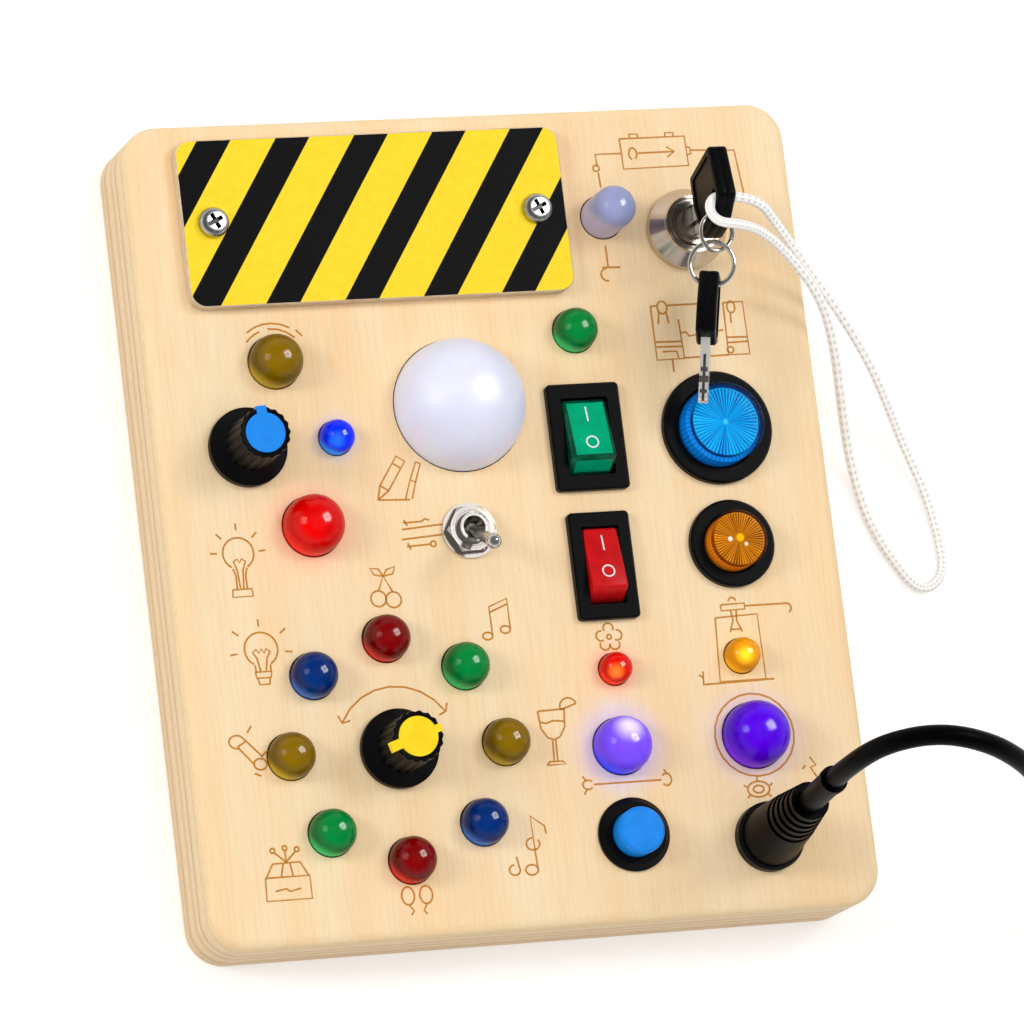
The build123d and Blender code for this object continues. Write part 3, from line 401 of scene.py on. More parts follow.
def black_moulding(tree, colour, roughness, grit, sheen):
    noise = add(tree, "TexNoise", {"Vector": cells(tree, grit), "Scale": 1.0, "Detail": 2.0})
    relief = add(tree, "Bump", {"Height": noise, "Strength": 0.25, "Distance": 0.02 * MM})
    tone = add(tree, "TexNoise", {"Vector": cells(tree, 6), "Scale": 1.0, "Detail": 2.0})
    gloss = add(tree, "MapRange", {
        "Value": tone, "To Min": roughness - gloss_drift, "To Max": roughness + gloss_drift})
    return add(tree, "BsdfPrincipled", {
        "Base Color": colour, "Roughness": gloss, "Specular IOR Level": sheen,
        "Normal": relief})


black_abs = material("black ABS, spark-eroded mould", black_moulding, "#08080A", 0.36, 0.25, 0.09)
black_pvc = material("black PVC, matt moulded", black_moulding, "#040304", 0.36, 0.35, 0.05)
dress(black_abs, "blue_knob", "yellow_knob", "green_rocker_housing", "red_rocker_housing",
      "blue_lens_housing", "amber_lens_housing", "push_button_housing", "power_socket")
dress(black_pvc, "power_plug")

# %% [markdown]
# ## Coloured caps
# The knob caps, the push button and the rockers are solid-coloured ABS with a soft gloss. A touch
# of light goes into the plastic and comes out beside it, which keeps its shadows from going grey.

# %% Coloured plastics
def coloured_plastic(tree, colour, shade, roughness):
    body = mottled(tree, cells(tree, 4), 3.0, (0.35, shade), (0.6, colour))
    grit = add(tree, "TexNoise", {"Vector": cells(tree, 0.3), "Scale": 1.0, "Detail": 1.0})
    relief = add(tree, "Bump", {"Height": grit, "Strength": 0.12, "Distance": 0.01 * MM})
    return add(tree, "BsdfPrincipled", {
        "Base Color": body, "Roughness": roughness, "Specular IOR Level": 0.2, "Normal": relief,
        "Subsurface Weight": 0.15, "Subsurface Scale": 0.6 * MM})


blue_abs = material("blue ABS, satin", coloured_plastic, "#128CF0", "#0E86E6", 0.32)
yellow_abs = material("yellow ABS, satin", coloured_plastic, "#FFDC16", "#F8D310", 0.35)
red_abs = material("red ABS, soft gloss", coloured_plastic, "#D0141A", "#C01016", 0.3)
dress(blue_abs, "blue_knob_cap", "push_button")
dress(yellow_abs, "yellow_knob_cap")
dress(red_abs, "red_rocker")

# %% [markdown]
# ## Scalloped knob rims
# Each knob's cap is sunk into a rim that is scalloped for the fingers. A small profile spun round
# the knob makes the rim, and its outer points are then pushed out and in by a cosine, which gives
# even scallops with soft shoulders.

# %% Knob rims
rim_profile = [(4.5, 14.7), (4.55, 15.0), (4.75, 15.1), (5.15, 15.1), (5.4, 14.9), (5.45, 14.4),
               (5.45, 13.6), (5.2, 13.2)]
rim_shoulder = 5.1            # the scallops begin this far from the axis, in millimetres
scallop_count = 18
scallop_depth = 0.16
steps_per_scallop = 6
for name in ("blue_knob", "yellow_knob"):
    axis = middle(name)
    shape = spin(rim_profile, axis, scallop_count * steps_per_scallop)
    for vert in shape.verts:
        arm = Vector((vert.co.x - axis.x, vert.co.y - axis.y))
        if arm.length > rim_shoulder * MM:
            wave = math.cos(scallop_count * math.atan2(arm.y, arm.x)) * scallop_depth * MM
            vert.co.x += arm.x / arm.length * wave
            vert.co.y += arm.y / arm.length * wave
    settle(show(f"{name}_rim", shape, black_abs), f"{name}_turner", "black_moulded_plastic")

# %% [markdown]
# ## Prism lenses
# The two lamp buttons have caps of clear dyed acrylic. Under the smooth outer skin lies a fan of
# fine V-grooves that spreads the light of the bulb. The grooves are real: a profile is spun in many
# steps and every second spoke is sunk. The skin is a thin see-through shell, almost invisible from
# the front and denser where it is seen edge-on, as real acrylic is. The colour under it has painted
# light and shade: the grooves and the far side of the wall are painted darker, the side of the wall
# where light comes out is painted lighter, and the amber cap has two painted highlights beside its
# bulb.

# %% Dyed acrylic
spoke_count = 54
# The wall is painted lighter on this side of a cap and darker on the other, as painted light and
# shade.
toward_lit_side = (-0.75, -0.66, 0.0)    # where the light that crosses a cap comes out
brink_width, brink_line = 0.12, 0.14     # of the disc's edge, in millimetres


def dyed_acrylic(tree, core, groove_shade, wall, shaded_wall, glow, centre, disc, bulbs_and_painted_highlights):
    """Grooved acrylic with painted light and shade. The spots are lit bulbs and painted highlights:
    sideways, up, radius in millimetres and colour.
    """
    across, flat, away = round_axis(tree, cells(tree, 1, centre=centre))
    aim = add(tree, "VectorMath", {0: flat}, operation="NORMALIZE")
    turn = add(tree, "Math", {0: across.outputs["Y"], 1: across.outputs["X"]}, operation="ARCTAN2")
    spokes = add(tree, "Math", {0: turn, 1: spoke_count}, operation="MULTIPLY")
    wave = add(tree, "Math", {0: spokes}, operation="COSINE")
    sectors = add(tree, "TexNoise", {"Vector": aim, "Scale": 2.2, "Detail": 2.0})
    sectors = add(tree, "MapRange", {
        "Value": sectors, "From Min": 0.35, "From Max": 0.65, "To Min": 0.3, "To Max": 0.85})
    fan = add(tree, "Math", {0: wave, 1: 0.42, 2: sectors}, operation="MULTIPLY_ADD")
    # Every second spoke takes the darker groove colour, as painted shade in the grooves.
    dye_and_painted_light = add(tree, "Mix", {"Factor": fan, "A": groove_shade, "B": core}, data_type="RGBA")
    # Lit bulbs, and painted highlights where the amber cap mirrors the lights.
    for x, y, size, light in bulbs_and_painted_highlights:
        spot = add(tree, "VectorMath", {0: flat, 1: (x, y, 0)}, operation="DISTANCE")
        dye_and_painted_light = fading_spot(tree, dye_and_painted_light, spot, size * 0.5, size, light)
    # Painted light and shade: the wall is lighter where light leaves the cap and darker opposite,
    # with every second rib darker, and the line at the disc's edge changes with the same sides.
    side = add(tree, "VectorMath", {0: aim, 1: toward_lit_side}, operation="DOT_PRODUCT")
    lit = add(tree, "MapRange", {"Value": side, "From Min": -0.5, "From Max": 0.6})
    ribs = add(tree, "MapRange", {"Value": wave, "From Min": -1.0, "To Min": 0.6})
    wall_light = add(tree, "Math", {0: lit, 1: ribs}, operation="MULTIPLY")
    outside = add(tree, "Mix", {"Factor": wall_light, "A": shaded_wall, "B": wall}, data_type="RGBA")
    past = add(tree, "Math", {0: away, 1: disc + brink_width}, operation="GREATER_THAN")
    body = add(tree, "Mix", {"Factor": past, "A": dye_and_painted_light, "B": outside}, data_type="RGBA")
    brink = add(tree, "Math", {0: away, 1: disc, 2: brink_line}, operation="COMPARE")
    line = add(tree, "Mix", {"Factor": lit, "A": core, "B": shaded_wall}, data_type="RGBA")
    body = add(tree, "Mix", {"Factor": brink, "A": body, "B": line}, data_type="RGBA")
    return add(tree, "BsdfPrincipled", {
        "Base Color": body, "Roughness": 0.35, "Specular IOR Level": 0.1, "Emission Color": body,
        "Emission Strength": glow})


def clear_skin(tree, tint, edge):
    rim = add(tree, "LayerWeight", {"Blend": 0.3}).outputs["Facing"]
    thick = add(tree, "MapRange", {
        "Value": rim, "From Min": 0.4, "From Max": 1.0, "To Min": 0.05, "To Max": 0.4})
    colour = add(tree, "Mix", {"Factor": rim, "A": tint, "B": edge}, data_type="RGBA")
    return add(tree, "BsdfPrincipled", {
        "Base Color": colour, "Roughness": 0.08, "Specular IOR Level": 0.4, "Alpha": thick})

# %% Lens caps
# node, body, slot, height, rounding, disc's margin, core, painted groove shade, wall, painted
# shaded wall, glow, lit bulbs and painted highlights
lenses = [
    ("blue_lens", "blue_button", "blue_lens_plastic", 7.5, 1.2, 1.4, "#14BEFF", "#0050AC",
     "#0A8CF4", "#002660", 0.12, [(0.0, 0.0, 0.8, "#40CCFF")]),
    # The amber cap's two white spots are painted highlights.
    ("amber_lens", "amber_button", "amber_lens_plastic", 6.6, 0.9, 0.6, "#E8921A", "#5E2800",
     "#F08418", "#7A3600", 0.1, [(0.3, 0.3, 1.15, "#FFC814"), (-2.0, 0.1, 0.65, "#FFFFFF"),
                                 (1.5, -1.2, 0.55, "#FFF2DC")]),
]
cap_margin = 0.8              # of a cap's hidden flange beyond the cap, in millimetres
crown_depth = 0.8             # of the grooved disc under the top of the skin
groove_depth = 0.25
rib_depth = 0.05
sleeve_wall = 0.6
for node, body, slot, height, edge, margin, core, groove_shade, wall, shaded_wall, glow, bulbs_and_painted_highlights in lenses:
    axis = middle(node)
    radius = half_width(node) - cap_margin
    disc = radius - margin
    top = height - crown_depth
    prism = [(0.0, top), (disc - 0.15, top), (disc, top - 0.2), (disc + 0.05, top - 1.1),
             (radius - 0.35, top - 1.5), (radius - 0.3, 0.6)]
    shape = spin(prism, axis, spoke_count * 2)
    bmesh.ops.remove_doubles(shape, verts=shape.verts, dist=0.005 * MM)
    for vert in shape.verts:
        arm = Vector((vert.co.x - axis.x, vert.co.y - axis.y))
        spoke = round(math.atan2(arm.y, arm.x) / math.pi * spoke_count)
        if spoke % 2 and arm.length > 0.5 * MM:
            if vert.co.z > face_z + (top - 0.1) * MM:
                vert.co.z -= groove_depth * MM
            elif arm.length > (disc + 0.1) * MM:
                vert.co.x -= arm.x / arm.length * rib_depth * MM
                vert.co.y -= arm.y / arm.length * rib_depth * MM
    finish = material(f"dyed acrylic prisms of {node}", dyed_acrylic, core, groove_shade, wall, shaded_wall,
                      glow, axis, disc, bulbs_and_painted_highlights)
    settle(show(f"{node}_prisms", shape, finish), body, slot, node)
    skin = [(radius, 0.4), *arc(radius - edge, height - edge, edge, 0, 90, step=22.5),
            (radius * 0.5, height), (0.0, height)]
    finish = material(f"clear dyed skin of {node}", clear_skin, wall, shaded_wall)
    settle(show(f"{node}_skin", spin(skin, axis, 96), finish), body, slot, node)
    inner = radius - sleeve_wall
    sleeve = [(radius, 0.45), (radius, -2.5), (inner, -2.5), (inner, 0.8)]
    settle(show(f"{node}_sleeve", spin(sleeve, axis), black_abs), body, slot, node)
    print(node, "is", round(radius * 2, 1), "mm across")

# %% [markdown]
# ## Rockers
# The green rocker is a clear, dyed cover over a pale insert, so its bevelled border looks dark
# and the flat windows on its crown and its front end look bright. The red one is one opaque
# moulding with soft edges. Both start as the rocker's side view, pulled out to its width. Wide
# bevels make the border, and an inset on the flat faces makes the windows.

# %% Rockers
def dark_cover(tree):
    dye_and_painted_light = mottled(tree, cells(tree, 2.5), 3.0, (0.35, "#00402A"), (0.65, "#005C3E"))
    return add(tree, "BsdfPrincipled", {
        "Base Color": dye_and_painted_light, "Roughness": 0.2, "Specular IOR Level": 0.25})


green_cover = material("clear green cover, edge", dark_cover)
green_insert = material("clear green cover over white", coloured_plastic, "#00AC7C", "#00A070", 0.2)
white_print = material("white pad print", coloured_plastic, "#F4F4F0", "#E6E6E2", 0.5)
crown = 5.6                   # of a rocker's flat top over its hinge, in millimetres
rocker_profile = [(-7.0, crown), (7.0, crown), (8.2, 1.0), (7.6, -2.5), (-7.6, -2.5), (-8.2, 1.0)]
rocker_tilt = math.radians(-14.0)
hinge_drop = 2.0              # of the hinge below the face
window_line = 0.18
least_window = 20.0           # in square millimetres, more than any of the border's faces
on_and_off = [[(0, 5.2), (0, 1.7)], ring(0, -3.2, 1.3)]
mark_width, mark_film = 0.34, 0.0204
mark_gap = 0.005              # between the crown and the middle of the marks
for name, width, border, rounding, *finishes in [
        ("green", 10.0, 0.75, 1, green_cover, green_insert), ("red", 7.8, 0.7, 3, red_abs)]:
    node, body, slot = f"{name}_rocker", f"{name}_switch", f"{name}_rocker_plastic"
    hinge = Vector((middle(node).x, middle(f"{node}_housing").y, face_z - hinge_drop * MM))
    set_in = Matrix.Translation(hinge) @ Matrix.Rotation(rocker_tilt, 4, "X")
    shape = plate(rocker_profile, -width / 2, width / 2)
    soft = [edge for edge in shape.edges if max(v.co.z for v in edge.verts) > 5 * MM]
    bmesh.ops.bevel(shape, geom=soft, offset=border * MM, affect="EDGES", segments=rounding,
                    profile=0.5, material=-1)
    bmesh.ops.recalc_face_normals(shape, faces=shape.faces)
    if len(finishes) > 1:
        windows = [face for face in shape.faces if face.calc_area() > least_window * MM * MM
                   and (face.normal.z > 0.9 or face.normal.y < -0.7)]
        bmesh.ops.inset_individual(shape, faces=windows, thickness=window_line * MM, depth=0.0)
        for face in windows:
            face.material_index = 1
    bmesh.ops.transform(shape, matrix=set_in, verts=shape.verts)
    settle(show(f"{node}_cover", shape, *finishes), body, slot, node)
    over_crown = set_in @ Matrix.Translation((0, 0, (crown + mark_gap) * MM))
    marks = pressed_lines(f"{node}_marks", on_and_off, mark_width, mark_film, over_crown)
    settle(show(f"{node}_marks", marks, white_print), body, slot)

# %% [markdown]
# ## Tinted lamps
# Each lamp is a solid dome of dyed epoxy. Light enters it from the upper right, is gathered by the
# dome and leaves on the far side near the foot, which glows, while the near side stays deep. A few
# lamps are lit. A real refraction would need far more light paths, so the glow of the foot is
# painted into the colour along the direction of the light, the edge is painted darker as shade, the
# unlit lamps get a faint painted glow, the body scatters light inside itself and a clear coat gives
# the window-like highlights.

# %% Dyed epoxy
# The foot's glow is painted along this way.
light_path = Vector((-0.38, -0.72, -0.58)).normalized()    # of the light through a dome


def tinted_epoxy(tree, crown, painted_lit_foot, glow, spot, chip_place, painted_edge_shade, centre, radius):
    """Dyed epoxy with painted light and shade: its edge is painted darker, and its foot is painted
    bright along the light's path. A lit chip inside shows as a spot of its own colour, and glow is
    how much of it the dye around it passes on; on an unlit lamp the spot and the glow are painted
    light."""
    place = cells(tree, radius, centre=centre)
    # Painted light: the colour turns to the lit foot's colour along the light's path.
    along = add(tree, "VectorMath", {0: place, 1: light_path}, operation="DOT_PRODUCT")
    gathered = add(tree, "MapRange", {
        "Value": along, "From Min": 0.3, "From Max": 0.98},
        interpolation_type="SMOOTHSTEP")
    # Painted shade: the dome's edge is darkened.
    away = round_axis(tree, place)[-1]
    outer = add(tree, "MapRange", {
        "Value": away, "From Min": 0.55, "From Max": 1.0, "To Max": painted_edge_shade},
        interpolation_type="SMOOTHSTEP")
    with_painted_edge_shade = add(tree, "Mix", {"Factor": outer, "A": crown, "B": "#000000"}, data_type="RGBA")
    dye_and_painted_light = add(tree, "Mix", {"Factor": gathered, "A": with_painted_edge_shade, "B": painted_lit_foot}, data_type="RGBA")
    # Emission from the colour and the chip: lamp light on the lit lamps, painted glow on the unlit
    # ones.
    ember = add(tree, "VectorMath", {0: dye_and_painted_light, "Scale": glow}, operation="SCALE")
    chip = centre + Vector(chip_place) * radius * MM
    away = add(tree, "VectorMath", {0: cells(tree, radius, centre=chip)}, operation="LENGTH")
    light = fading_spot(tree, ember, away, 0.05, 0.7, spot)
    return add(tree, "BsdfPrincipled", {
        "Base Color": dye_and_painted_light, "Roughness": 0.5, "Specular IOR Level": 0.0, "Subsurface Weight": 0.1,
        "Subsurface Scale": 0.15 * radius * MM, "Coat Weight": 0.75, "Coat Roughness": 0.16,
        "Coat IOR": 1.34, "Emission Color": light, "Emission Strength": 1.0})

# %% Lamps
# tint: crown, painted lit foot, glow, spot, the spot's place in radii, painted edge shade, slot of
# the record; on the unlit lamps the glow and the spot are painted light
ring_colours = ["red", "green", "olive", "blue"]
low_left, high_up = (-0.3, -0.35, 0.75), (0.02, 0.46, 0.78)
tints = {
    "red": ("#7C0002", "#E41408", 0.05, "#480202", low_left, 0.5, "red_tinted_lamp"),
    "green": ("#008438", "#12D070", 0.05, "#003C1A", low_left, 0.5, "green_tinted_lamp"),
    "olive": ("#866600", "#CCAA18", 0.05, "#3A2E00", low_left, 0.5, "olive_tinted_lamp"),
    "blue": ("#002A70", "#146CD2", 0.05, "#001A44", low_left, 0.45, "blue_tinted_lamp"),
    "bright_red": ("#DC0000", "#FF1008", 0.08, "#8C0000", low_left, 0.25, "bright_red_lamp"),
    "lit_blue": ("#0026F4", "#1C90FF", 0.35, "#2A74FF", low_left, 0.3, "lit_blue_lamp"),
    "lavender": ("#969CC6", "#B8AECC", 0.04, "#383C50", low_left, 0.1, "lavender_lamp"),
    "lit_red": ("#D40800", "#FF2800", 0.3, "#FF8C30", low_left, 0.3, "lit_red_lamp"),
    "lit_yellow": ("#DC8C00", "#F8A400", 0.35, "#FFE030", (-0.15, -0.15, 0.8), 0.3,
                   "lit_yellow_lamp"),
    "lit_violet": ("#7448F4", "#0A34FF", 0.35, "#F0E8FF", high_up, 0.3, "lit_violet_lamp"),
    "purple": ("#5600E4", "#7C10FC", 0.1, "#20005C", low_left, 0.35, "purple_lamp"),
}
single_lamps = {
    "olive_lamp": "olive", "small_blue_lamp": "lit_blue", "red_lamp": "bright_red",
    "green_lamp": "green", "lavender_bullet_lamp": "lavender", "small_red_lamp": "lit_red",
    "small_yellow_lamp": "lit_yellow", "blue_violet_lamp": "lit_violet", "purple_lamp": "purple",
}
lamp_tints = {f"ring_lamp_{i + 1}": ring_colours[i % 4] for i in range(8)}
lamp_tints.update(single_lamps)
flange_margin = 0.8           # of a lamp's hidden flange beyond its dome, in millimetres
lamp_places = []
for name, tint in lamp_tints.items():
    *look, slot = tints[tint]
    radius = half_width(name) - flange_margin
    centre = Vector((middle(name).x, middle(name).y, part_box(name)[1].z - radius * MM))
    dress(material(f"{tint} epoxy of {name}", tinted_epoxy, *look, centre, radius), name)
    lamp_places.append((centre, radius))

# %% White dome
def opal_plastic(tree):
    """Opal acrylic, which is white right through and spreads the light inside it. Its faint
    emission is painted glow for that spread light.
    """
    white = mottled(tree, cells(tree, 9), 2.0, (0.3, "#DEE0F4"), (0.7, "#E4E6FA"))
    return add(tree, "BsdfPrincipled", {
        "Base Color": white, "Roughness": 0.4, "Specular IOR Level": 0.2, "Subsurface Weight": 0.5,
        "Subsurface Scale": 3 * MM, "Coat Weight": 0.25, "Coat Roughness": 0.3,
        "Emission Color": "#E8ECFF", "Emission Strength": 0.06})


dress(material("opal acrylic", opal_plastic), "white_dome_lamp")

# %% [markdown]
# ## Painted shade round the lamp holes
# A laser cut the holes that the lamps stand in, and the narrow gap round each lamp lies in shade.
# From the front that shade is a thin dark line round each lamp. A flat dark ring, spun from an edge
# and laid on the wood, paints it without touching the panel.

# %% Hole rims
def painted_gap_shade(tree):
    # Painted shade: a dark ring stands for the shaded gap round each lamp.
    gap_shade_tone = mottled(tree, cells(tree, 0.5), 3.0, (0.35, "#1E120A"), (0.65, "#4A3018"))
    return add(tree, "BsdfPrincipled", {
        "Base Color": gap_shade_tone, "Roughness": 0.9, "Specular IOR Level": 0.1})


rim_level = 0.02              # over the wood, in millimetres
rim_inside, rim_outside = 0.3, 0.22
dome = (middle("white_dome_lamp"), half_width("white_dome_lamp") - flange_margin)
shape = bmesh.new()
for centre, radius in lamp_places + [dome]:
    band = [(radius - rim_inside, rim_level), (radius + rim_outside, rim_level)]
    spin(band, centre, 48, shape)
gap_shade_rings = show("hole_gap_shade", shape, material("painted shade of the lamp gaps", painted_gap_shade))
settle(gap_shade_rings, "board", "birch_plywood")

# %% [markdown]
# ## Metals
# The lock, the toggle switch and the rings are plated brass and steel. Turned parts keep the rings
# that the lathe cut, which run round their axis, so their noise reads only the distance from that
# axis and the height. A metal keeps the default IOR, and its colour is the reflection's. The sign's
# screws are plated too, and their cross recess is painted dark and not metallic, as painted shade.

# %% Metals
def turned_metal(tree, colour, roughness, centre):
    across, flat, radius = round_axis(tree, cells(tree, 1, centre=centre))
    outwards = add(tree, "VectorMath", {0: flat}, operation="NORMALIZE")
    line = add(tree, "CombineXYZ", {"X": radius, "Y": across.outputs["Z"]})
    marks = add(tree, "TexNoise", {"Vector": line, "Scale": 6.0, "Detail": 4.0})
    relief = add(tree, "Bump", {"Height": marks, "Strength": 0.25, "Distance": 0.02 * MM})
    gloss = add(tree, "MapRange", {
        "Value": marks, "To Min": roughness * 0.6, "To Max": roughness * 1.5})
    return add(tree, "BsdfPrincipled", {
        "Base Color": colour, "Metallic": 1.0, "Roughness": gloss, "Normal": relief,
        "Anisotropic": 0.8, "Tangent": outwards})


def rolled_metal(tree, colour, roughness, metallic=0.88):
    marks = add(tree, "TexNoise", {"Vector": cells(tree, 0.4, 3, 0.4), "Scale": 1.0, "Detail": 3.0})
    gloss = add(tree, "MapRange", {
        "Value": marks, "To Min": roughness * 0.6, "To Max": roughness * 1.4})
    relief = add(tree, "Bump", {"Height": marks, "Strength": 0.2, "Distance": 0.01 * MM})
    return add(tree, "BsdfPrincipled", {
        "Base Color": colour, "Metallic": metallic, "Roughness": gloss, "Normal": relief})

# %% Screws
screw_radius = 3.3
recess_radius = 2.3
recess_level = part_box("sign_screws")[1].z - 0.12 * MM
screw_reach = half_width("sign_screws") - screw_radius     # of each screw from the middle


def screw_head(tree):
    """A plated pan head whose cross recess is painted dark, as painted shade. One fold about the
    middle serves both screws.
    """
    across = add(tree, "SeparateXYZ", {0: cells(tree, 1, centre=middle("sign_screws"))})
    sideways = add(tree, "Math", {0: across.outputs["X"]}, operation="ABSOLUTE")
    sideways = add(tree, "Math", {0: sideways, 1: screw_reach}, operation="SUBTRACT")
    folded = add(tree, "CombineXYZ", {"X": sideways, "Y": across.outputs["Y"]})
    away = round_axis(tree, folded)[-1]
    inside = add(tree, "Math", {0: away, 1: recess_radius}, operation="LESS_THAN")
    height = part_of(tree, "Object", "Z")
    below = add(tree, "Math", {0: height, 1: recess_level}, operation="LESS_THAN")
    # Painted shade: inside the cross recess the head is dark and not metallic.
    painted_recess_shade = add(tree, "Math", {0: inside, 1: below}, operation="MULTIPLY")
    steel = mottled(tree, cells(tree, 0.8), 3.0, (0.35, "#A8A8AA"), (0.65, "#C4C4C6"))
    colour = add(tree, "Mix", {"Factor": painted_recess_shade, "A": steel, "B": "#101012"}, data_type="RGBA")
    shine = add(tree, "MapRange", {"Value": painted_recess_shade, "To Min": 1.0, "To Max": 0.0})
    return add(tree, "BsdfPrincipled", {"Base Color": colour, "Metallic": shine, "Roughness": 0.3})


dress(material("zinc-plated cross-head screw", screw_head), "sign_screws")

# %% Plated parts
lock_nickel = material("turned nickel of the lock", turned_metal, "#CEC4B8", 0.22,
                       middle("lock_core"))
switch_nickel = material("turned nickel of the switch", turned_metal, "#E6E0D8", 0.13,
                         middle("toggle_switch"))
bright_steel = material("bright steel wire", rolled_metal, "#C9C6C0", 0.14)
zinc = material("zinc-plated steel", rolled_metal, "#B4B6BA", 0.34)
aluminium = material("drawn aluminium", rolled_metal, "#C4C5C8", 0.3)
dress(lock_nickel, "lock_housing", "lock_core")
dress(switch_nickel, "toggle_switch", "toggle_nut")
dress(bright_steel, "small_ring", "large_ring", "toggle_lever")
dress(zinc, "back_screws", "panel_nuts", "dimmer_potentiometer", "selector_potentiometer")
dress(aluminium, "dimmer_shaft", "selector_shaft")

# %% [markdown]
# ## The works inside
# Behind the panel lies a green circuit board on nylon standoffs. The solder mask is a dark green
# lacquer over copper tracks, which show as paler lines, and the chips stand on it.

# %% Circuit board
chip_level = 8.7 * MM         # only the chips and terminals stand above it


def solder_mask(tree):
    tracks = add(tree, "TexVoronoi", {
        "Vector": cells(tree, 5, 5, 50), "Scale": 1.0, "Randomness": 0.4},
        feature="DISTANCE_TO_EDGE", distance="EUCLIDEAN")
    copper = add(tree, "Math", {0: tracks.outputs["Distance"], 1: 0.05}, operation="LESS_THAN")
    lacquer = add(tree, "Mix", {"Factor": copper, "A": "#1C5C38", "B": "#3E8A5C"}, data_type="RGBA")
    height = part_of(tree, "Object", "Z")
    chips = add(tree, "Math", {0: height, 1: chip_level}, operation="GREATER_THAN")
    colour = add(tree, "Mix", {"Factor": chips, "A": lacquer, "B": "#1A1A1C"}, data_type="RGBA")
    return add(tree, "BsdfPrincipled", {
        "Base Color": colour, "Roughness": 0.35, "Coat Weight": 0.3})


nylon = material("natural nylon", coloured_plastic, "#EAE8DE", "#E0DDD0", 0.45)
dress(material("solder mask", solder_mask), "circuit_board")
dress(nylon, "board_standoffs")

# %% [markdown]
# ## The cords
# A thin black power lead curves out of its plug, over the board's edge and down to the surface, and
# its spare length lies in a round coil beside the board. A NURBS spline pulled along a few given
# points gives the even, springy curves of a rubber lead. The white lanyard is limp: it loops
# through the key's slot, and its far end lies below the board's face.

# %% Cord routes
cord_diameter = 4.4
at_rest = -18.8               # height of the lead over the face where it lies on the surface
cord_exit = (50.205, -68.6153, 43.2397)
lead_route = [
    (50.2, -67.37, 54.17), (54.6, -65.2, 64.2), (64.0, -64.8, 70.2), (75.0, -67.4, 69.8),
    (85.2, -71.2, 63.2), (93.4, -74.8, 52.0), (101.0, -78.0, 36.8), (109.4, -81.6, 20.4),
    (119.6, -86.0, 5.5), (131.5, -90.8, -5.0), (142.5, -93.8, -8.9), (152.5, -95.0, -9.8),
]
coil_x, coil_y = 156.0, -71.0
coil_start = -98.3            # degrees, where the lead comes onto the coil
coil_path = [  # turns wound so far, radius, height over the face
    (0.00, 24.3, -9.8), (0.80, 24.5, -10.0), (0.92, 26.6, -12.0), (1.00, 27.2, -14.4),
    (1.60, 27.2, -14.4), (1.80, 22.4, -14.4), (2.50, 22.4, -14.4), (2.65, 22.4, at_rest),
    (3.25, 22.4, at_rest), (3.45, 27.2, at_rest), (4.28, 27.2, at_rest),
]
points_per_turn = 16
lanyard_diameter = 2.15
lanyard_hole = (48.9, 61.8048, 25.6)
lanyard_gap = 0.2
lanyard_route = [
    (47.3, 61.8, 25.6), (45.5, 60.2, 26.1), (45.4, 57.6, 26.8), (47.2, 55.7, 27.1),
    (51.4, 55.5, 26.2), (57.6, 54.9, 22.6),
    (65.6, 51.2, 16.0), (75.4, 43.0, 7.8), (80.5, 33.0, -1.0), (84.0, 22.0, -10.5),
    (87.2, 11.0, -18.0), (90.0, -1.0, -19.8), (94.6, -10.6, -19.8), (100.2, -18.6, -19.8),
    (106.6, -15.2, -19.8), (106.3, -5.4, -19.8), (104.2, 4.5, -19.0), (99.6, 14.5, -16.6),
    (95.4, 22.6, -12.0), (89.4, 31.6, -5.0), (81.4, 41.0, 1.6), (72.4, 50.0, 8.6),
    (64.0, 56.9, 17.0), (57.2, 61.9, 24.1),
]


def cord_tube(name, points, diameter):
    """The cord as a mesh tube with a UV map, and the line that it follows."""
    curve = bpy.data.curves.new(name, "CURVE")
    curve.dimensions = "3D"
    spline = curve.splines.new("NURBS")
    spline.points.add(len(points) - 1)
    for point, place in zip(spline.points, points):
        point.co = (*over_face(*place), 1.0)
    spline.order_u = 3
    spline.use_endpoint_u = True
    spline.resolution_u = 6
    holder = bpy.data.objects.new(name, curve)
    line = bpy.data.meshes.new_from_object(holder)
    path = [tuple(vertex.co) for vertex in line.vertices]
    curve.bevel_depth = diameter / 2 * MM
    curve.bevel_resolution = 4
    curve.use_fill_caps = True
    mesh = bpy.data.meshes.new_from_object(holder)
    bpy.data.objects.remove(holder)
    return show(name, mesh), path


def path_length(path):
    """The length of a line of points, in metres."""
    return sum((Vector(b) - Vector(a)).length for a, b in zip(path, path[1:]))

# %% Power lead
lead_points = [cord_exit] + lead_route
stretches = list(zip(coil_path, coil_path[1:]))
for step in range(1, round(coil_path[-1][0] * points_per_turn)):
    wound = step / points_per_turn
    (t0, r0, h0), (t1, r1, h1) = next(pair for pair in stretches if wound <= pair[1][0])
    share = (wound - t0) / (t1 - t0)
    angle = math.radians(coil_start + 360 * wound)
    reach = r0 + (r1 - r0) * share
    lead_points.append((coil_x + reach * math.cos(angle), coil_y + reach * math.sin(angle),
                        h0 + (h1 - h0) * share))
usb_x, usb_y, usb_z = (
    middle("usb_plug").x / MM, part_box("usb_plug")[0].y / MM, (middle("usb_plug").z - face_z) / MM)
tail_x = coil_x + coil_path[-1][1]
lead_points += [(tail_x, coil_y, at_rest), (tail_x, coil_y + 11, at_rest),
                (tail_x, coil_y + 21, -18.2), (usb_x, usb_y - 5, usb_z), (usb_x, usb_y + 1, usb_z)]
lead, lead_line = cord_tube("power_lead", lead_points, cord_diameter)
lead.data.materials.append(black_pvc)
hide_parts("power_cord", "power_cord_coil")
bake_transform(lead)

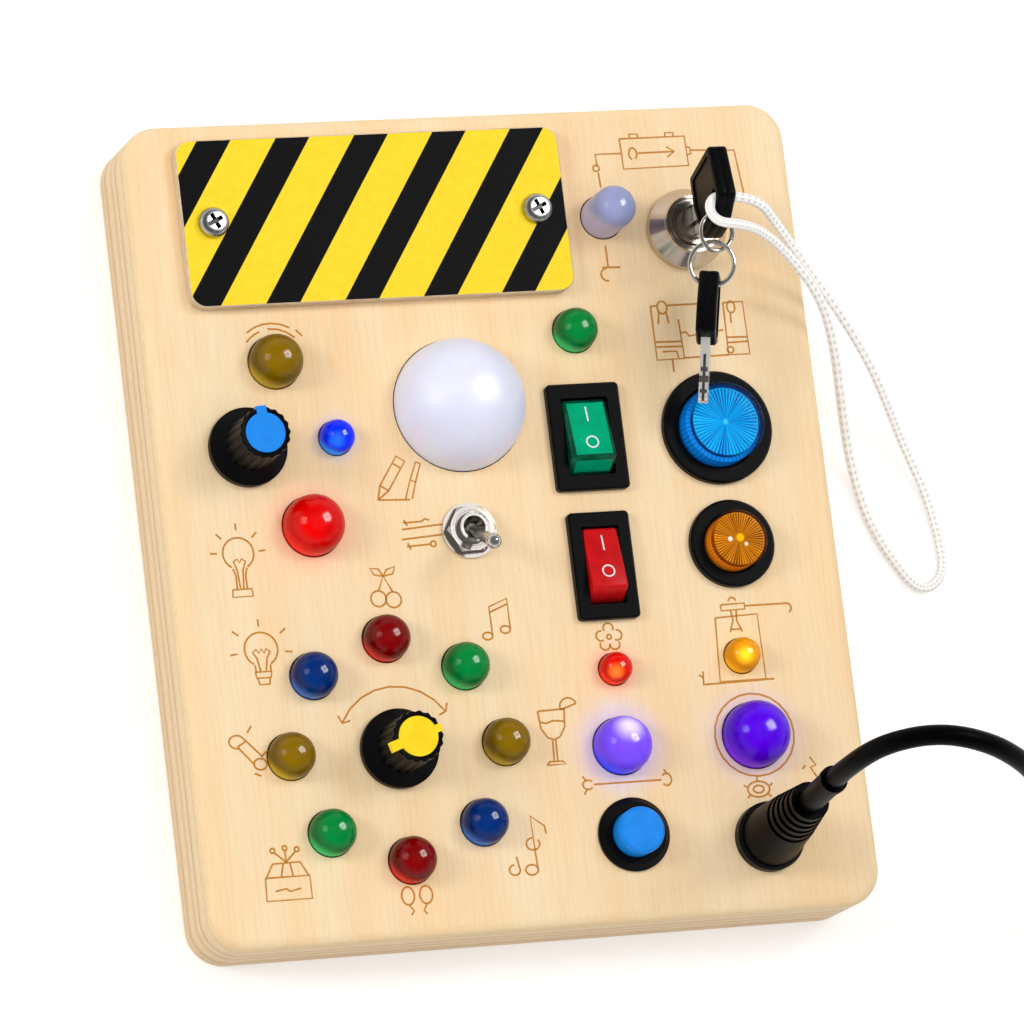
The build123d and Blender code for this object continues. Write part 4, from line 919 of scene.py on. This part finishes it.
# %% [markdown]
# ## The braided lanyard
# The lanyard is a soft white cord, braided from many fine strands. A braid is two sets of strands
# that wind opposite ways, so two slanted waves along the tube's own UV map make its diamonds. They
# are drawn a little coarser than the real ones so that they show. The hollows between the strands
# are painted darker as shade, and a faint white glow is painted on to keep the cord bright.

# %% Lanyard
strand_pairs = 3
braid_pitch = 2.6             # along the cord, in millimetres


def white_braid(tree, length):
    around = add(tree, "Math", {
        0: part_of(tree, "UV", "Y"), 1: strand_pairs * math.tau}, operation="MULTIPLY")
    turns = length / (braid_pitch * MM)
    along = add(tree, "Math", {
        0: part_of(tree, "UV", "X"), 1: turns * math.tau}, operation="MULTIPLY")
    waves = []
    for way in ("ADD", "SUBTRACT"):
        slanted = add(tree, "Math", {0: around, 1: along}, operation=way)
        waves.append(add(tree, "Math", {0: slanted}, operation="SINE"))
    strands = add(tree, "Math", {0: waves[0], 1: waves[1]}, operation="MULTIPLY")
    hollow = add(tree, "MapRange", {"Value": strands, "From Min": -1.0, "From Max": 1.0})
    # Painted shade: the hollows between the strands are darker.
    colour = add(tree, "ValToRGB", {"Fac": hollow}, stops=[
        (0.1, "#CFC9C1"), (0.55, "#FAF8F4"), (1.0, "#FFFFFF")])
    relief = add(tree, "Bump", {"Height": hollow, "Strength": 0.6, "Distance": 0.25 * MM})
    # The faint white emission is painted light that keeps the braid bright.
    return add(tree, "BsdfPrincipled", {
        "Base Color": colour, "Roughness": 0.8, "Specular IOR Level": 0.2, "Normal": relief,
        "Emission Color": "#FFFFFF", "Emission Strength": 0.14})


lanyard_x, lanyard_y, lanyard_z = lanyard_hole
lanyard_points = ([(lanyard_x - lanyard_gap, lanyard_y, lanyard_z)] + lanyard_route
                  + [(lanyard_x + lanyard_gap, lanyard_y, lanyard_z)])
lanyard, lanyard_line = cord_tube("lanyard_cord", lanyard_points, lanyard_diameter)
lanyard_length = path_length(lanyard_line)
lanyard.data.materials.append(material("white polyester braid", white_braid, lanyard_length))
settle(lanyard, "inserted_key", "white_braid", "lanyard")
print("the lanyard is", round(lanyard_length, 3), "m long")

# %% [markdown]
# ## Keys
# Each key is a steel blade moulded into a black head. The head is made of two half shells that
# meet in a fine seam, with a shallow panel in each broad side and a slanted slot for the ring.
# Half a head is the outline with its corners rounded, pulled out and bevelled, with the slot and
# the panel cut out of it by a boolean, and its mirror image is the other half. The blade is cut in
# the same way. Its cuts are painted darker than its sides, as painted shade.

# %% Cutting
def block(low, high):
    """A box between two corners, in millimetres."""
    shape = bmesh.new()
    bmesh.ops.create_cube(shape, size=1.0)
    low, high = Vector(low) * MM, Vector(high) * MM
    size = Matrix.Diagonal((*(high - low), 1))
    place = Matrix.Translation((low + high) / 2)
    bmesh.ops.transform(shape, matrix=place @ size, verts=shape.verts)
    return shape


def cut(shape, tools):
    """Cuts the tools out of a closed shape. The cut faces take the second of two finishes."""
    holders = []
    for part in [shape, *tools]:
        for face in part.faces:
            face.material_index = int(part is not shape)
        mesh = bpy.data.meshes.new("cutting")
        mesh.materials.append(None)
        mesh.materials.append(None)
        part.to_mesh(mesh)
        part.free()
        holder = bpy.data.objects.new("cutting", mesh)
        bpy.context.scene.collection.objects.link(holder)
        holders.append(holder)
    for tool in holders[1:]:
        knife = holders[0].modifiers.new("knife", "BOOLEAN")
        knife.operation = "DIFFERENCE"
        knife.solver = "EXACT"
        knife.object = tool
    seen = holders[0].evaluated_get(bpy.context.evaluated_depsgraph_get())
    left = bmesh.new()
    left.from_mesh(bpy.data.meshes.new_from_object(seen))
    for holder in holders:
        bpy.data.objects.remove(holder)
    return left

# %% Key head
head_outline = [(-6.3, 4.0), (1.5, 0.2), (8.6, 0.0), (12.2, 13.9), (0.6, 16.5), (-4.8, 10.0)]
panel_outline = [(-4.6, 4.8), (1.8, 1.8), (7.4, 1.7), (10.3, 12.7), (1.2, 14.8), (-3.3, 9.6)]
slot_start, slot_end = Vector((-1.6, 8.6)), Vector((1.0, 13.1))
slot_radius = 1.85
half_thickness = 2.15
half_seam = 0.03
panel_depth = 0.35


def key_head():
    half = plate(head_outline, half_seam, half_thickness, 1.0)
    for side, soft in ((half_thickness, 0.6), (half_seam, 0.15)):
        rim = [e for e in half.edges if all(abs(v.co.x - side * MM) < 1e-7 for v in e.verts)]
        bmesh.ops.bevel(half, geom=rim, offset=soft * MM, affect="EDGES", segments=3, profile=0.5,
                        material=-1)
    along = (slot_end - slot_start).normalized() * slot_radius
    aside = Vector((-along.y, along.x))
    slot = [slot_start - along + aside, slot_end + along + aside, slot_end + along - aside,
            slot_start - along - aside]
    half = cut(half, [plate(slot, -1, 3, slot_radius * 0.98),
                      plate(panel_outline, half_thickness - panel_depth, 3, 0.5)])
    copied = bmesh.ops.duplicate(half, geom=list(half.verts) + list(half.edges) + list(half.faces))
    bmesh.ops.scale(half, vec=(-1, 1, 1), verts=verts_of(copied))
    bmesh.ops.recalc_face_normals(half, faces=half.faces)
    return half

# %% Key blade
blade_outline = [(-3, 5), (3, 5), (3, -10.9), (1.9, -12), (-1.9, -12), (-3, -10.9)]
blade_cuts = [  # low and high corners: three bitings, a groove in each side, a groove in one edge
    ((-2, 2.4, -4.7), (2, 4, -3.3)), ((-2, -4, -7.3), (2, -2.4, -5.9)),
    ((-2, 2.4, -9.5), (2, 4, -8.1)),
    ((0.7, 0.3, -12.5), (2, 1.3, -0.3)), ((-2, -1.3, -12.5), (-0.7, -0.3, -0.3)),
    ((-0.3, -4, -12.5), (0.3, -2.55, -1.2)), ((-0.75, -4, -5.0), (0.75, -2.65, -4.0)),
    ((-0.75, -4, -9.6), (0.75, -2.65, -8.8)),
]


def key_blade():
    return cut(plate(blade_outline, -1.0, 1.0, 0.3), [block(*corners) for corners in blade_cuts])

# %% Both keys
key_steel = material("milled nickel-plated steel", rolled_metal, "#ECE8E2", 0.22, 0.5)
# Painted shade: the faces of the blade's cuts are dark.
shaded_cut_steel = material("steel in the cuts, painted dark as shade", rolled_metal, "#66625C", 0.4, 0.5)
spare_across = Vector((0.918488, -0.18066, 0.35177)).normalized()
spare_up = Vector((0.056, 0.937, 0.335)).normalized()
spare_side = spare_up.cross(spare_across)
hang_point = mm(46.0733, 44.1032, 39.0102)      # where the ring holds the key
ring_side, ring_up = 1.0, 13.1                  # the same point, seen from the key, in millimetres
spare_origin = hang_point - (spare_side * ring_side + spare_up * ring_up) * MM
spare_turn = Matrix((spare_across, spare_side, spare_up)).transposed().to_4x4()
for name, body, place in [
        ("key", "inserted_key", Matrix.Translation(mm(48.9, 60.8048, 33.5))),
        ("spare_key", "hanging_key", Matrix.Translation(spare_origin) @ spare_turn)]:
    for part, shape, slot, finishes in [
            ("head", key_head(), "black_moulded_plastic", (black_abs, black_abs)),
            ("blade", key_blade(), "nickel_plated_brass", (key_steel, shaded_cut_steel))]:
        bmesh.ops.transform(shape, matrix=place, verts=shape.verts)
        settle(show(f"{name}_{part}", shape, *finishes), body, slot, name)

# %% [markdown]
# ## Turned details and the last plug
# The toggle switch's nut is turned in fine steps, and the bush in it has a fine thread. Thread
# that small reads as rings, so one stepped profile spun round the bush draws both. The lock's
# collar has a polished lip with a groove inside it, and another spun profile adds them. The
# lead's far plug is a black grip on a folded steel shell, and the shader changes from one to the
# other where the grip ends.

# %% Thread and lip
nut_radius, nut_level = 4.8, 2.82
nut_steps, step_inwards, step_up, groove_drop = 3, 0.5, 0.08, 0.2
thread_turns, thread_pitch = 4, 0.36
thread = [(nut_radius, 2.6)]
for step in range(nut_steps):
    outer, level = nut_radius - step_inwards * step, nut_level + step_up * step
    thread += [(outer, level), (outer - 0.28, level), (outer - 0.38, level - groove_drop)]
for step in range(thread_turns):
    thread += [(3.45, 2.84 + thread_pitch * step), (3.1, 3.02 + thread_pitch * step)]
thread += [(2.9, 4.25), (2.5, 4.25), (2.48, 3.6)]
lip = [(6.5, 5.6), (6.5, 6.0), (6.3, 6.35), (5.75, 6.4), (5.6, 6.1), (5.45, 6.03), (5.35, 6.03),
       (5.3, 6.35), (4.95, 6.4), (4.84, 6.2)]
for name, profile, carrier, finish in [("toggle_thread", thread, "toggle_switch", switch_nickel),
                                       ("lock_lip", lip, "lock_core", lock_nickel)]:
    shape = spin(profile, middle(carrier), 72)
    settle(show(name, shape, finish), "board", "nickel_plated_brass")

# %% Far plug
grip_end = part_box("usb_plug")[0].y + 24.0 * MM


def usb_shell(tree):
    grip = mottled(tree, cells(tree, 0.5, 4, 0.5), 3.0, (0.3, "#0B0A0B"), (0.7, "#111011"))
    reach = part_of(tree, "Object", "Y")
    steel = add(tree, "Math", {0: reach, 1: grip_end}, operation="GREATER_THAN")
    colour = add(tree, "Mix", {"Factor": steel, "A": grip, "B": "#C8CACC"}, data_type="RGBA")
    gloss = add(tree, "MapRange", {"Value": steel, "To Min": 0.42, "To Max": 0.25})
    return add(tree, "BsdfPrincipled", {
        "Base Color": colour, "Metallic": steel, "Roughness": gloss})


dress(material("black PVC grip on a folded steel shell", usb_shell), "usb_plug")

# %% [markdown]
# ## The laser-engraved drawings
# A laser has browned small drawings into the face: bulbs, notes, a goblet, a battery and the
# wires between them. They are lines about half a millimetre wide. Each is one run of a curve with
# a round bevel, and the whole set is pressed flat to a film that lies just over the wood.

# %% Strokes
strokes = [
    # a standing bulb
    arc(-59.86, -4.68, 3.4, -60, 240), [(-61.4, -7.9), (-60.9, -9.4), (-60.9, -12.4)],
    [(-58.3, -7.8), (-58.8, -9.4), (-58.7, -12.4)],
    [(-61.9, -12.4), (-57.8, -12.4), (-57.6, -14.0), (-62.1, -14.0), (-61.9, -12.4)],
    [(-60.2, -12.3), (-60.5, -8.2), (-61.1, -6.4), (-60.3, -5.9), (-59.8, -6.7), (-59.3, -5.9),
     (-58.5, -6.4), (-59.2, -8.2), (-59.5, -12.3)], [(-59.8, 0.3), (-59.8, 1.8)],
    [(-64.5, -4.5), (-66.0, -4.4)], [(-55.3, -4.4), (-53.8, -4.3)], [(-63.2, -1.4), (-64.3, -0.3)],
    [(-56.5, -1.4), (-55.4, -0.3)],
    # a second bulb
    arc(-57.29, -25.48, 3.65, -60, 240), [(-59.0, -28.8), (-58.9, -30.3)],
    [(-55.6, -28.8), (-55.7, -30.3)],
    [(-59.1, -30.3), (-55.5, -30.3), (-55.8, -31.6), (-58.9, -31.6), (-59.1, -30.3)],
    [(-58.7, -31.6), (-58.4, -33.0), (-56.2, -33.0), (-56.0, -31.6)],
    [(-57.9, -30.2), (-58.4, -27.4), (-59.2, -26.1), (-58.4, -25.4), (-57.9, -26.3), (-57.3, -25.4),
     (-56.7, -26.3), (-56.2, -25.4), (-55.4, -26.1), (-56.2, -27.4), (-56.7, -30.2)],
    [(-57.3, -20.6), (-57.3, -19.0)], [(-61.9, -22.3), (-63.2, -21.3)],
    [(-52.8, -22.3), (-51.5, -21.3)], [(-62.6, -26.2), (-64.2, -26.4)],
    [(-52.1, -26.2), (-50.5, -26.4)],
    # waves over the olive lamp
    arc(-47.1, 36.1, 7.4, 45, 95), arc(-47.1, 36.1, 8.6, 60, 128), arc(-47.1, 36.1, 7.3, 110, 140),
    [(-41.5, 43.0), (-40.2, 41.6)],
    # cherries
    ring(-30.2, -16.2, 1.7), ring(-26.9, -16.6, 1.7),
    [(-30.0, -14.5), (-28.6, -11.4), (-26.9, -14.9)],
    [(-28.6, -11.4), (-27.7, -10.0), (-25.8, -9.5), (-26.4, -11.0), (-28.6, -11.4)],
    [(-28.6, -11.4), (-29.5, -9.8), (-31.3, -9.6), (-30.6, -11.0), (-28.6, -11.4)],
    # a pencil and a brush over a line
    [(-27.7, 5.1), (-26.9, 8.2), (-22.6, 14.4), (-20.8, 13.2), (-25.1, 7.0), (-27.7, 5.1)],
    [(-26.9, 8.2), (-25.1, 7.0)], [(-23.6, 12.9), (-21.8, 11.7)], [(-27.7, 5.1), (-20.6, 4.8)],
    [(-21.6, 4.9), (-20.1, 9.0), (-18.9, 8.6), (-20.1, 4.9)],
    [(-20.1, 9.0), (-18.4, 12.9), (-17.4, 12.5), (-18.9, 8.6)],
    # four wires to the toggle
    [(-22.81, -0.18), (-18.6, -0.05), (-17.9, 0.5), (-16.9, 0.1)],
    [(-23.24, -1.6), (-14.17, -0.91)], [(-23.5, -3.76), (-14.45, -3.15)],
    [(-22.54, -5.32), (-17.3, -5.1)], ring(-16.6, -5.05, 0.6), [(-22.6, 0.5), (-21.9, -0.8)],
    [(-22.3, -4.6), (-21.7, -6.0)],
    # two notes joined by a beam
    ring(-7.0, -25.7, 1.1, 0.8), ring(-2.9, -24.5, 1.1, 0.8),
    [(-5.9, -25.5), (-6.0, -19.4), (-1.8, -17.8), (-1.8, -24.3)], [(-6.0, -20.6), (-1.8, -19.0)],
    # a goblet with a slice of fruit
    [(2.0, -42.6), (8.0, -42.4)],
    [(2.0, -42.6), (2.3, -46.4), (3.6, -48.4), (4.9, -48.9), (6.3, -48.4), (7.6, -46.4),
     (8.0, -42.4)], [(2.1, -44.9), (3.6, -45.3), (5.2, -44.8), (7.8, -45.1)],
    [(4.6, -48.9), (4.4, -53.6)], [(5.3, -48.9), (5.2, -53.6)],
    [(2.7, -54.3), (3.4, -53.6), (6.2, -53.6), (7.0, -54.3), (2.7, -54.3)],
    arc(9.0, -42.0, 1.9, 20, 200), [(7.2, -42.6), (10.8, -41.4)],
    # a torch
    arc(-64.9, -44.9, 1.7, 50, 290, 1.4), [(-63.8, -43.8), (-59.6, -48.4)],
    [(-64.6, -46.3), (-61.6, -49.9)], ring(-60.3, -49.9, 1.4, 1.2),
    [(-62.9, -44.8), (-64.9, -46.0)], [(-59.9, -48.2), (-58.2, -47.0)],
    [(-62.4, -43.1), (-61.4, -41.6)], [(-61.8, -51.8), (-60.4, -52.4)],
    # a box with a bow
    [(-62.1, -74.1), (-52.4, -74.1), (-52.4, -79.0), (-62.3, -79.0), (-62.1, -74.1)],
    [(-61.9, -74.1), (-60.2, -71.2), (-54.2, -71.1), (-52.6, -74.1)],
    [(-58.6, -74.0), (-57.9, -71.3)], [(-56.0, -74.0), (-56.4, -71.3)],
    [(-57.2, -71.2), (-57.2, -68.6)], [(-57.2, -71.0), (-59.6, -68.8)],
    [(-57.2, -71.0), (-54.9, -68.8)], ring(-57.2, -68.0, 0.5), ring(-59.9, -68.4, 0.5),
    ring(-54.6, -68.4, 0.5), [(-60.2, -77.0), (-57.8, -76.6), (-57.0, -77.2), (-54.6, -76.7)],
    # a pair of ovals on hooks
    ring(-31.5, -80.0, 1.4, 1.9), ring(-27.5, -80.0, 1.4, 1.9),
    [(-31.4, -82.0), (-30.5, -83.3), (-31.2, -84.1)],
    [(-27.6, -82.0), (-28.3, -83.3), (-27.7, -84.1)],
    # a pair of notes
    ring(-3.5, -76.4, 1.4, 1.1), [(-2.2, -76.1), (-2.5, -64.9), (0.4, -67.2), (0.6, -68.9)],
    arc(-7.3, -76.2, 1.2, 90, 380, 1.1), [(-6.2, -75.9), (-6.6, -73.4)],
    arc(-2.6, -70.9, 1.5, 90, 400, 1.3),
    # a battery and its wires
    [(36.63, 81.97), (51.63, 82.01), (51.8, 75.38), (36.78, 75.17), (36.63, 81.97)],
    [(39.0, 82.0), (39.0, 82.9), (40.9, 82.9), (40.9, 82.0)],
    [(47.2, 82.0), (47.2, 82.9), (49.1, 82.9), (49.1, 82.0)], arc(39.3, 78.5, 0.9, -60, 250, 1.3),
    [(40.43, 78.6), (48.92, 78.67)], [(47.2, 79.8), (48.92, 78.67), (47.2, 77.5)],
    [(51.7, 79.6), (52.6, 79.4), (52.6, 78.0), (51.8, 77.8)],
    [(52.6, 78.8), (62.71, 78.39), (63.9, 66.6)], [(36.7, 78.7), (30.67, 78.72), (30.8, 75.9)],
    ring(30.5, 75.6, 0.7), [(30.85, 74.6), (31.02, 71.3)],
    # the lamp circuit
    [(30.37, 58.32), (30.41, 53.53)], [(29.0, 53.5), (33.2, 53.4)], arc(30.0, 51.9, 1.4, 90, 280),
    [(38.9, 44.4), (38.9, 32.4), (45.2, 32.5), (44.9, 41.2)], [(39.0, 36.4), (45.0, 36.3)],
    [(39.0, 35.3), (45.0, 35.2)], [(40.4, 34.2), (43.6, 34.2), (43.9, 32.7)],
    ring(41.5, 44.0, 1.1, 1.4), [(40.6, 42.9), (40.2, 40.4)], [(42.3, 42.9), (42.6, 40.4)],
    [(38.9, 44.4), (40.4, 44.4)], [(42.6, 44.4), (53.8, 44.5)],
    [(44.9, 38.2), (46.3, 38.3), (46.9, 37.4), (54.9, 38.4)], [(44.9, 32.6), (55.4, 32.8)],
    [(55.6, 44.4), (60.1, 44.5), (60.3, 32.8), (55.4, 32.8), (55.6, 44.4)],
    [(55.4, 36.7), (60.2, 36.6)], [(55.4, 35.5), (60.2, 35.6)], ring(57.3, 43.4, 0.9, 1.3),
    [(57.0, 42.1), (56.9, 39.8)], ring(56.0, 33.9, 0.7), [(42.4, 32.4), (42.4, 29.6)],
    # a frame with a tap round the small yellow lamp
    [(44.59, -24.86), (54.23, -24.54), (54.42, -38.77), (43.91, -38.78), (44.59, -24.86)],
    [(39.89, -39.19), (56.28, -38.9)], [(40.27, -36.32), (40.1, -39.1)],
    [(40.3, -37.8), (39.3, -37.0)],
    [(46.2, -22.1), (51.6, -22.0), (51.6, -23.3), (46.2, -23.4), (46.2, -22.1)],
    arc(48.9, -21.4, 0.8, 0, 180), [(51.6, -22.6), (61.2, -22.6)], arc(61.2, -23.6, 1.0, -70, 90),
    [(48.3, -23.4), (48.6, -25.6), (47.6, -28.2)], [(49.6, -23.4), (49.4, -25.6), (50.4, -28.2)],
    [(47.9, -27.6), (50.1, -27.6)],
    # a bench under the blue-violet lamp
    [(12.6, -59.12), (27.8, -59.13)], arc(11.3, -59.1, 1.2, 40, 320, 1.0),
    arc(29.0, -59.1, 1.1, -140, 140, 1.3), [(10.9, -58.2), (10.2, -57.2)],
    [(10.9, -60.0), (10.2, -61.2)], [(29.3, -57.9), (28.6, -56.9)],
    # a ring and a gear at the purple lamp
    ring(50.14, -50.78, 9.0), ring(49.5, -62.6, 2.5, 1.7), ring(49.5, -62.6, 1.2, 0.8),
    [(49.4, -59.9), (49.4, -60.9)], [(46.9, -62.0), (46.2, -61.5)], [(52.1, -62.0), (52.8, -61.5)],
    [(47.4, -63.8), (46.8, -64.4)], [(51.6, -63.8), (52.2, -64.4)],
    # a flower
    arc(20.1, -25.6, 1.1, -30, 210), arc(21.9, -27.2, 1.1, -120, 100),
    arc(18.3, -27.2, 1.1, 80, 300), arc(21.2, -29.2, 1.1, -190, 30),
    arc(19.0, -29.2, 1.1, 150, 370), ring(20.1, -27.5, 0.5),
    # a spark
    [(62.0, -56.4), (63.2, -58.2), (61.9, -58.7), (63.1, -60.8)], [(60.8, -58.2), (60.0, -58.9)],
    # the turning arrow round the yellow knob
    arc(-29.6, -48.6, 13.4, 33, 152), [(-19.9, -42.0), (-18.3, -41.2), (-17.9, -39.4)],
    [(-42.2, -40.7), (-41.4, -42.4), (-39.6, -41.9)],
]

# %% Engraving
line_width = 0.42
film = 0.025                  # how far the film stands over the wood, in millimetres


def scorched_wood(tree):
    char = mottled(tree, cells(tree, 0.6), 3.0, (0.3, "#BA7420"), (0.7, "#D29238"))
    return add(tree, "BsdfPrincipled", {"Base Color": char, "Roughness": 0.7})


on_face = Matrix.Translation(over_face(0, 0))
burnt = pressed_lines("engraved_drawings", strokes, line_width, film, on_face)
engraving = show("engraved_drawings", burnt, material("laser-scorched birch", scorched_wood))
settle(engraving, "board", "birch_plywood")
print(len(strokes), "engraved strokes")

# %% [markdown]
# ## The studio
# The board lies on a pale floor under one broad soft light from the upper right, a weaker one
# from the left and a wide one overhead. Four more lights are kept to the gloss of the domes and
# the metals, which mirror each of them as a bright window. The floor looks brighter, straight on
# and in what mirrors it, than the light that it throws back on the board. The world is dimmer
# overhead than near the horizon, so that black plastic stays black and bright metal gets
# something dark to mirror.

# %% Floor
def studio_floor(tree):
    paths = add(tree, "LightPath")
    seen = paths.outputs["Is Camera Ray"]
    for ray in ("Is Glossy Ray", "Is Transmission Ray"):
        seen = add(tree, "Math", {0: seen, 1: paths.outputs[ray]}, operation="MAXIMUM")
    paint = mottled(tree, cells(tree, 8), 2.0, (0.3, "#E9E8E6"), (0.7, "#EDECEA"))
    wall = add(tree, "BsdfDiffuse", {"Color": paint})
    lift = add(tree, "Emission", {"Color": "#FFFFFF", "Strength": 0.35})
    bright = add(tree, "AddShader", {0: wall, 1: lift})
    return add(tree, "MixShader", {"Fac": seen, 1: wall, 2: bright})


floor = bpy.data.meshes.new("floor")
floor_shape = bmesh.new()
bmesh.ops.create_grid(floor_shape, x_segments=2, y_segments=2, size=6.0)
floor_shape.to_mesh(floor)
floor_shape.free()
floor.materials.append(material("pale painted floor", studio_floor))
floor_object = bpy.data.objects.new("floor", floor)
bpy.context.scene.collection.objects.link(floor_object)

# %% Lights
def gloss_set(name, *members):
    """A collection of nodes and pieces that a light can be kept to."""
    made = bpy.data.collections.new(name)
    for member in members:
        made.objects.link(nodes[member] if member in nodes else bpy.data.objects[member])
    return made


domes = gloss_set("domes", *lamp_tints, "white_dome_lamp")
bright_metal = gloss_set("bright_metal", "lock_housing", "lock_core", "sign_screws", "small_ring",
                         "large_ring", "lock_lip", "key_blade", "spare_key_blade")
flat_metal = gloss_set("flat_metal", "toggle_switch", "toggle_nut", "toggle_lever", "lock_core",
                       "toggle_thread", "lock_lip")
key_way, fill_way = Vector((0.549, 0.243, 0.798)), Vector((-0.825, 0.182, 0.540))
flat_way, overhead = Vector((0.37, 0.2, 0.91)), Vector((0, 0, 1))
target = over_face(0, 0)
# direction, distance and size in metres, watts, whether it gives gloss, and what it is kept to
for name, way, distance, size, power, gloss, receivers in [
        ("key_light", key_way, 1.8, 0.55, 6.5, True, None),
        ("dome_key", key_way, 1.8, 0.85, 84.0, True, domes),
        ("metal_key", key_way, 1.8, 0.85, 34.0, True, bright_metal),
        ("flat_key", flat_way, 1.8, 0.5, 0.8, True, flat_metal),
        ("fill_light", fill_way, 1.8, 0.5, 9.0, False, None),
        ("dome_fill", fill_way, 1.8, 0.6, 16.0, True, domes),
        ("ceiling_light", overhead, 2.5, 3.0, 45.0, False, None)]:
    lamp = bpy.data.lights.new(name, "AREA")
    lamp.energy = power
    lamp.shape = "SQUARE"
    lamp.size = size
    holder = bpy.data.objects.new(name, lamp)
    aim = way.normalized()
    holder.matrix_world = (Matrix.Translation(target + aim * distance)
                           @ aim.to_track_quat("Z", "Y").to_matrix().to_4x4())
    holder.visible_diffuse = receivers is None
    holder.visible_glossy = gloss
    bpy.context.scene.collection.objects.link(holder)
    if receivers:
        holder.light_linking.receiver_collection = receivers
    print(name, "gives", power, "W to", receivers.name if receivers else "everything")

# %% World
world = bpy.data.worlds.new("studio")
bpy.context.scene.world = world
world.use_nodes = True
sky = world.node_tree
sky.nodes.clear()
paths = add(sky, "LightPath")
strength = add(sky, "MapRange", {
    "Value": part_of(sky, "Generated", "Z"), "From Min": 0.1, "From Max": 0.6, "To Min": 1.0,
    "To Max": 0.12})
for ray in ("Is Camera Ray", "Is Transmission Ray"):
    strength = add(sky, "Math", {0: strength, 1: paths.outputs[ray]}, operation="MAXIMUM")
light = add(sky, "Background", {"Color": "#FFFFFF", "Strength": strength})
add(sky, "OutputWorld", {"Surface": light})

bpy.context.scene.view_settings.view_transform = "Standard"
